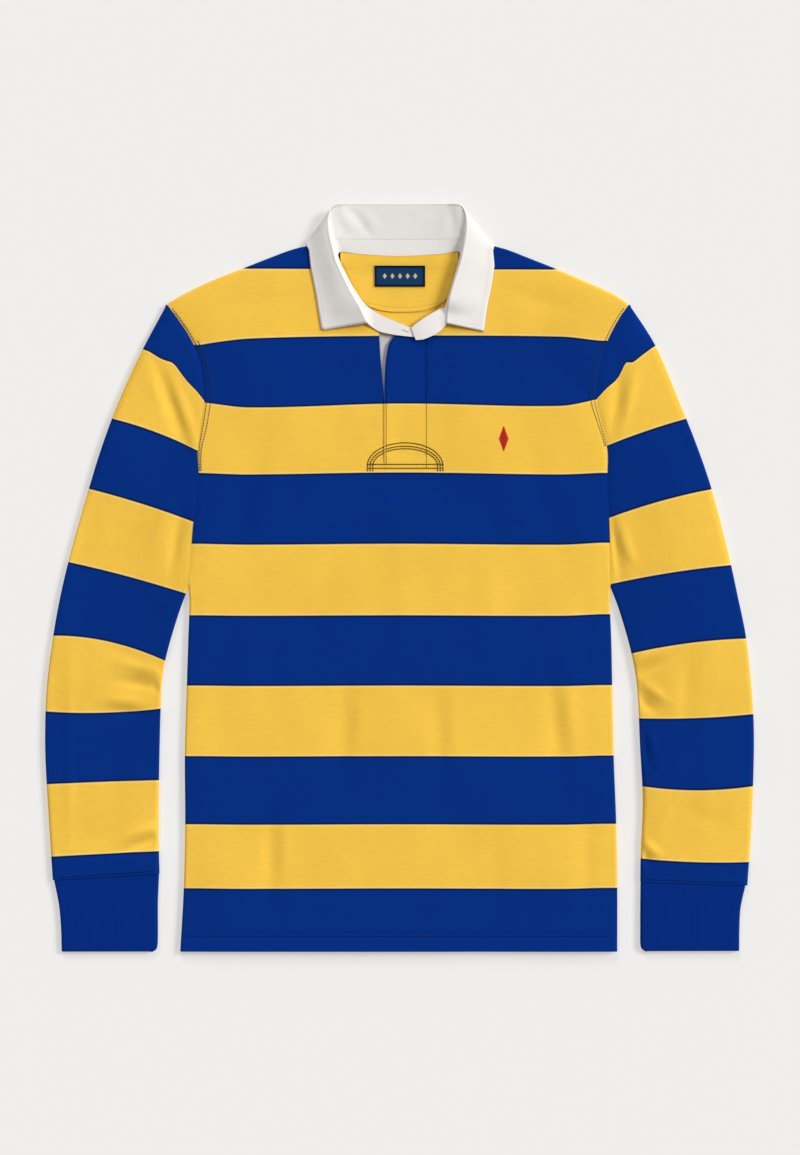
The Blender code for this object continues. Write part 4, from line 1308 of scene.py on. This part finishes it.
class POLO_OT_collar(bpy.types.Operator):
    """Turn the white collar: its stand with lapped ends and its leaf with two points"""

    bl_idname = "polo_shirt.turn_collar"
    bl_label = "Turn Collar"

    def execute(self, context):
        leaf, bare = leaf_rows()
        cloth_piece("collar_fall", "collar_leaf", "white_twill", leaf, (0.44, 0.09), 0.03, missing=bare)
        cloth_piece("collar_band", "collar_stand", "white_twill", stand_rows(), (0.44, 0.032), 0.006)
        return {"FINISHED"}


class POLO_OT_placket(bpy.types.Operator):
    """Set the half placket: its flap and the white facing below it"""

    bl_idname = "polo_shirt.set_placket"
    bl_label = "Set Placket"

    def execute(self, context):
        flap = ("placket_cover", "placket_flap", "hooped_jersey", flap_rows())
        cloth_piece(*flap, (0.0455, 0.145), 0.0063, body_hoop)
        # The lining's grey colour is painted shade of the gap it lies in.
        cloth_piece("placket_lining", "placket_facing", "facing_twill_painted_shade", facing_rows(), (0.034, 0.151))
        return {"FINISHED"}


class POLO_OT_neck(bpy.types.Operator):
    """Set the half-moon inside the back neck and the label on it"""

    bl_idname = "polo_shirt.set_neck"
    bl_label = "Set Neck"

    def execute(self, context):
        moon = ("half_moon", "neck_patch", "yellow_jersey", half_moon_rows())
        cloth_piece(*moon, (0.124, 0.062), 0.006)
        cloth_piece("woven_label", "neck_label", "woven_label", label_rows(), (0.053, 0.022))
        return {"FINISHED"}


class POLO_OT_seams(bpy.types.Operator):
    """Sew the armholes, hem, placket, collar, cuffs and half-moon"""

    bl_idname = "polo_shirt.sew_seams"
    bl_label = "Sew Seams"

    def execute(self, context):
        self.sew_armholes_and_hem()
        self.sew_placket()
        self.sew_collar()
        self.sew_half_moon()
        cuffs = []
        for table in (RIGHT_CUFF, LEFT_CUFF):
            outer_x, outer_y, inner_x, inner_y = table[0]
            cuffs.append(on_front(line((outer_x * 0.985, outer_y + 3.0), (inner_x * 1.02, inner_y + 3.0))))
        sew("cuff_stitches", cuffs, "navy")
        return {"FINISHED"}

    def sew_armholes_and_hem(self):
        """Two rows inside each armhole, and two on both faces at the hem's fold."""
        armholes = []
        for column, low in ((1, 112.0), (2, 138.0)):
            for inset, high in ((2.4, 283.0), (6.4, 249.0)):
                run = []
                for y in steps(low, high, 60):
                    near = inset * (0.4 + 0.6 * ease(low, low + 55.0, y))
                    run.append((armhole_x(y, column) + INWARD[column] * near, y))
                armholes.append(on_front(run))
        sew("armhole_stitches", armholes, "seam", 0.42, gap=0.3)
        hems = []
        for y in (HEM_FOLD_Y + 1.2, HEM_FOLD_Y - 2.6):
            right, left = edges(SIDE, y)
            run = line((right + 4.5, y), (left - 4.5, y), 90)
            hems += [on_front(run), on_back(run)]
        sew("hem_stitches", hems, "navy", 0.26)

    def sew_placket(self):
        """The flap's two edges, the arches and bars below it, two faint rows further down, and the
        buttonhole of the band, whose grey is partly painted shade of its slit."""
        flap_edge = [(smooth(FLAP, y, 1) + 2.0, y) for y in (118.0 + 4.0 * k for k in range(34))]
        flap_seam = [(28.2, 115.0 + 4.0 * k) for k in range(35)]
        low, bottom = 117.6, 111.6

        def across(half, y, count, lift):
            return on_front(line((PLACKET_X - half, y), (PLACKET_X + half, y), count), lift)

        arcs = []
        for half, tall in ((39.6, 24.2), (36.8, 20.6), (34.0, 18.0)):
            right, left = PLACKET_X - half, PLACKET_X + half
            arc = [(right, bottom), (right, low)]
            for k in range(1, 48):
                turn = math.pi * k / 48
                arc.append((PLACKET_X - half * math.cos(turn), low + tall * math.sin(turn)))
            arcs.append(on_front([*arc, (left, low), (left, bottom)], 0.3))
        bars = [across(40.0, y, 60, 0.3) for y in (119.2, 115.1)]
        edge_runs = [on_front(flap_edge, 0.2), on_front(flap_seam, 0.2)]
        sew("placket_stitches", edge_runs, "navy", 0.34, 1.9, 0.7)
        sew("placket_end_stitches", [*bars, *arcs], "navy", 0.56, 2.3, 0.1)
        below = [across(36.0, y, 40, 0.1) for y in (104.5, 92.0)]
        sew("facing_stitches", below, "navy", 0.24, 1.9, 1.5)
        # Grey stitches of the buttonhole, darkened as painted shade of its slit.
        hole = [(2.6 + 0.9 * k, 260.2 - 0.35 * k, 7.9) for k in range(9)]
        sew("band_buttonhole", [hole], "shadow", 0.34, 1.6, 0.2)

    def sew_collar(self):
        """One row of stitches along the leaf's free edge, and one along each of its front edges."""
        rows, _ = leaf_rows()
        inset = 5.0

        def inwards(start, towards, height):
            point = Vector(start) + (Vector(towards) - Vector(start)).normalized() * inset
            point.z = (point.z if height is None else height) + TWILL / 2 + STITCH_LIFT
            return tuple(point)

        front = [k for k, station in enumerate(collar_stations()) if station[2] == 1.0]
        right = [k for k in front if k < len(rows) / 2]
        left = [k for k in front if k > len(rows) / 2][::-1]
        runs = []
        for side in (right, left):
            run = [inwards(rows[k][-1], rows[k][-4], None) for k in side]
            clear = [k for k, point in enumerate(run) if math.dist(point, run[0]) > inset - 1.0]
            runs.append(run[clear[0] :])
            tip, following = rows[side[0]], rows[side[3]]
            inner = range(RISE_STEPS + 8, len(tip) - 2)
            runs.append([inwards(tip[n], following[n], tip[n][2]) for n in inner])
        sew("collar_stitches", runs, "pale", 0.24, 2.2, 0.9)

    def sew_half_moon(self):
        """One row round the half-moon, inside its curved edge."""
        heights = (331.0, 318.0, 305.0, 296.0, 289.0)
        moon = [(smooth(HALF_MOON, y, 1) + 2.4, y) for y in heights]
        moon += [(x, 284.0 + 0.004 * (x - 3.0) ** 2) for x in (-24.0, -14.0, -4.0, 6.0, 16.0, 26.0)]
        moon += [(smooth(HALF_MOON, y, 2) - 2.4, y) for y in reversed(heights)]
        run = [(x, y, back_height(x, y) + MOON_TOP + 0.1) for x, y in curve_through(moon, 4)]
        sew("half_moon_stitches", [run], "gold", 0.22)


class POLO_OT_trims(bpy.types.Operator):
    """Weave the label's plain motif and embroider the small chest lozenge"""

    bl_idname = "polo_shirt.add_trims"
    bl_label = "Add Trims"

    def execute(self, context):
        centre_x, centre_y = LABEL_CENTRE

        def on_label(points):
            lift = MOON_TOP + LAYER_GAP + LABEL_CLOTH + 0.12
            placed = ((centre_x + x, centre_y + y) for x, y in points)
            return [(x, y, back_height(x, y) + lift) for x, y in placed]

        border = []
        for inset in (0.6, 1.6):
            w, h = (size / 2 - inset for size in LABEL_SIZE)
            corners = ((-w, -h), (w, -h), (w, h), (-w, h), (-w, -h))
            border += [on_label(line(a, b, 12)) for a, b in zip(corners, corners[1:])]
        sew("label_border", border, "label_edge", 0.6, 2.2, 0.0)
        lozenges = []
        for middle in (-16.0, -8.0, 0.0, 8.0, 16.0):
            for k in range(-5, 6):
                reach = 2.9 * (1 - abs(k) / 5.6)
                lozenges.append(on_label(((middle - reach, 0.55 * k), (middle + reach, 0.55 * k))))
        sew("label_lozenges", lozenges, "cream", 0.26, 12.0, 0.0)
        motif_x, motif_y, half, tall = CHEST_LOZENGE
        satin = []
        for k in range(SATIN_ROWS):
            share = 2 * (k + 0.5) / SATIN_ROWS - 1
            reach, y = half * (1 - abs(share)) + 0.4, motif_y + tall * share
            satin.append(on_front([(motif_x - reach, y), (motif_x + reach, y)], 0.05))
        sew("chest_lozenge", satin, "red", 0.55, 20.0, 0.0)
        return {"FINISHED"}


class POLO_OT_stage(bpy.types.Operator):
    """Set the pale floor, the soft lights and the camera straight above"""

    bl_idname = "polo_shirt.set_stage"
    bl_label = "Set Stage"

    def execute(self, context):
        scene = context.scene
        scene.view_settings.view_transform = "Standard"

        def add(name, data):
            added = bpy.data.objects.new(name, data)
            scene.collection.objects.link(added)
            return added

        mesh = bpy.data.meshes.new("studio_floor")
        square = ((-1, -1), (1, -1), (1, 1), (-1, 1))
        corners = [(x * FLOOR_HALF, y * FLOOR_HALF, FLOOR_Z) for x, y in square]
        mesh.from_pydata(corners, [], [(0, 1, 2, 3)])
        paper, _, _ = new_material(
            "floor_paper",
            {
                "Base Color": (0.40, 0.395, 0.388),
                "Emission Color": (1.0, 0.99, 0.972),
                "Emission Strength": 0.46,
                "Roughness": 0.95,
                "Specular IOR Level": 0.0,
            },
        )
        mesh.materials.append(paper)
        add("studio_floor", mesh)
        world = bpy.data.worlds.new("studio_world")
        world.use_nodes = True
        sky = world.node_tree.nodes["Background"].inputs
        sky["Color"].default_value = (1.0, 1.0, 1.0, 1.0)
        sky["Strength"].default_value = 0.3
        scene.world = world
        for name, towards, spread_degrees, strength in LIGHTS:
            lamp = bpy.data.lights.new(name, "SUN")
            lamp.angle = math.radians(spread_degrees)
            lamp.energy = strength
            light = add(name, lamp)
            light.location = [2.0 * part for part in towards]
            light.rotation_euler = Vector(towards).to_track_quat("Z", "Y").to_euler()
        view = bpy.data.cameras.new("overhead_camera")
        view.lens = LENS
        view.sensor_fit = "VERTICAL"
        view.sensor_height = SENSOR
        camera = add("overhead_camera", view)
        camera.location = (0.0005, 0.0005, SEEN_HEIGHT * MM * LENS / SENSOR)
        scene.camera = camera
        return {"FINISHED"}


OPERATORS = (
    POLO_OT_body,
    POLO_OT_sleeves,
    POLO_OT_cuffs,
    POLO_OT_collar,
    POLO_OT_placket,
    POLO_OT_neck,
    POLO_OT_seams,
    POLO_OT_trims,
    POLO_OT_stage,
)


class POLO_PT_panel(bpy.types.Panel):
    """Buttons that dress the shirt, and the sizes and colours that they use"""

    bl_idname = "POLO_PT_panel"
    bl_label = "Laid Polo Shirt"
    bl_space_type = "VIEW_3D"
    bl_region_type = "UI"
    bl_category = "Polo Shirt"

    def draw(self, context):
        for operator in OPERATORS:
            self.layout.operator(operator.bl_idname)
        for settings in (context.scene.polo_shirt_sizes, context.scene.polo_shirt_colours):
            column = self.layout.column()
            for name in settings.__annotations__:
                column.prop(settings, name)


CLASSES = (PoloShirtSizes, PoloShirtColours, *OPERATORS, POLO_PT_panel)


def register():
    for each in CLASSES:
        bpy.utils.register_class(each)
    bpy.types.Scene.polo_shirt_sizes = bpy.props.PointerProperty(type=PoloShirtSizes)
    bpy.types.Scene.polo_shirt_colours = bpy.props.PointerProperty(type=PoloShirtColours)


def unregister():
    del bpy.types.Scene.polo_shirt_colours
    del bpy.types.Scene.polo_shirt_sizes
    for each in reversed(CLASSES):
        bpy.utils.unregister_class(each)


def main():
    """Registers the add-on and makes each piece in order."""
    kept = {*frame["nodes"].values(), *frame["bodies"].values()}
    for startup in [each for each in bpy.data.objects if each not in kept]:
        bpy.data.objects.remove(startup)
    register()
    bpy.ops.polo_shirt.lay_body()
    bpy.ops.polo_shirt.lay_sleeves()
    bpy.ops.polo_shirt.knit_cuffs()
    bpy.ops.polo_shirt.turn_collar()
    bpy.ops.polo_shirt.set_placket()
    bpy.ops.polo_shirt.set_neck()
    bpy.ops.polo_shirt.sew_seams()
    bpy.ops.polo_shirt.add_trims()
    bpy.ops.polo_shirt.set_stage()


if __name__ == "__main__":
    main()
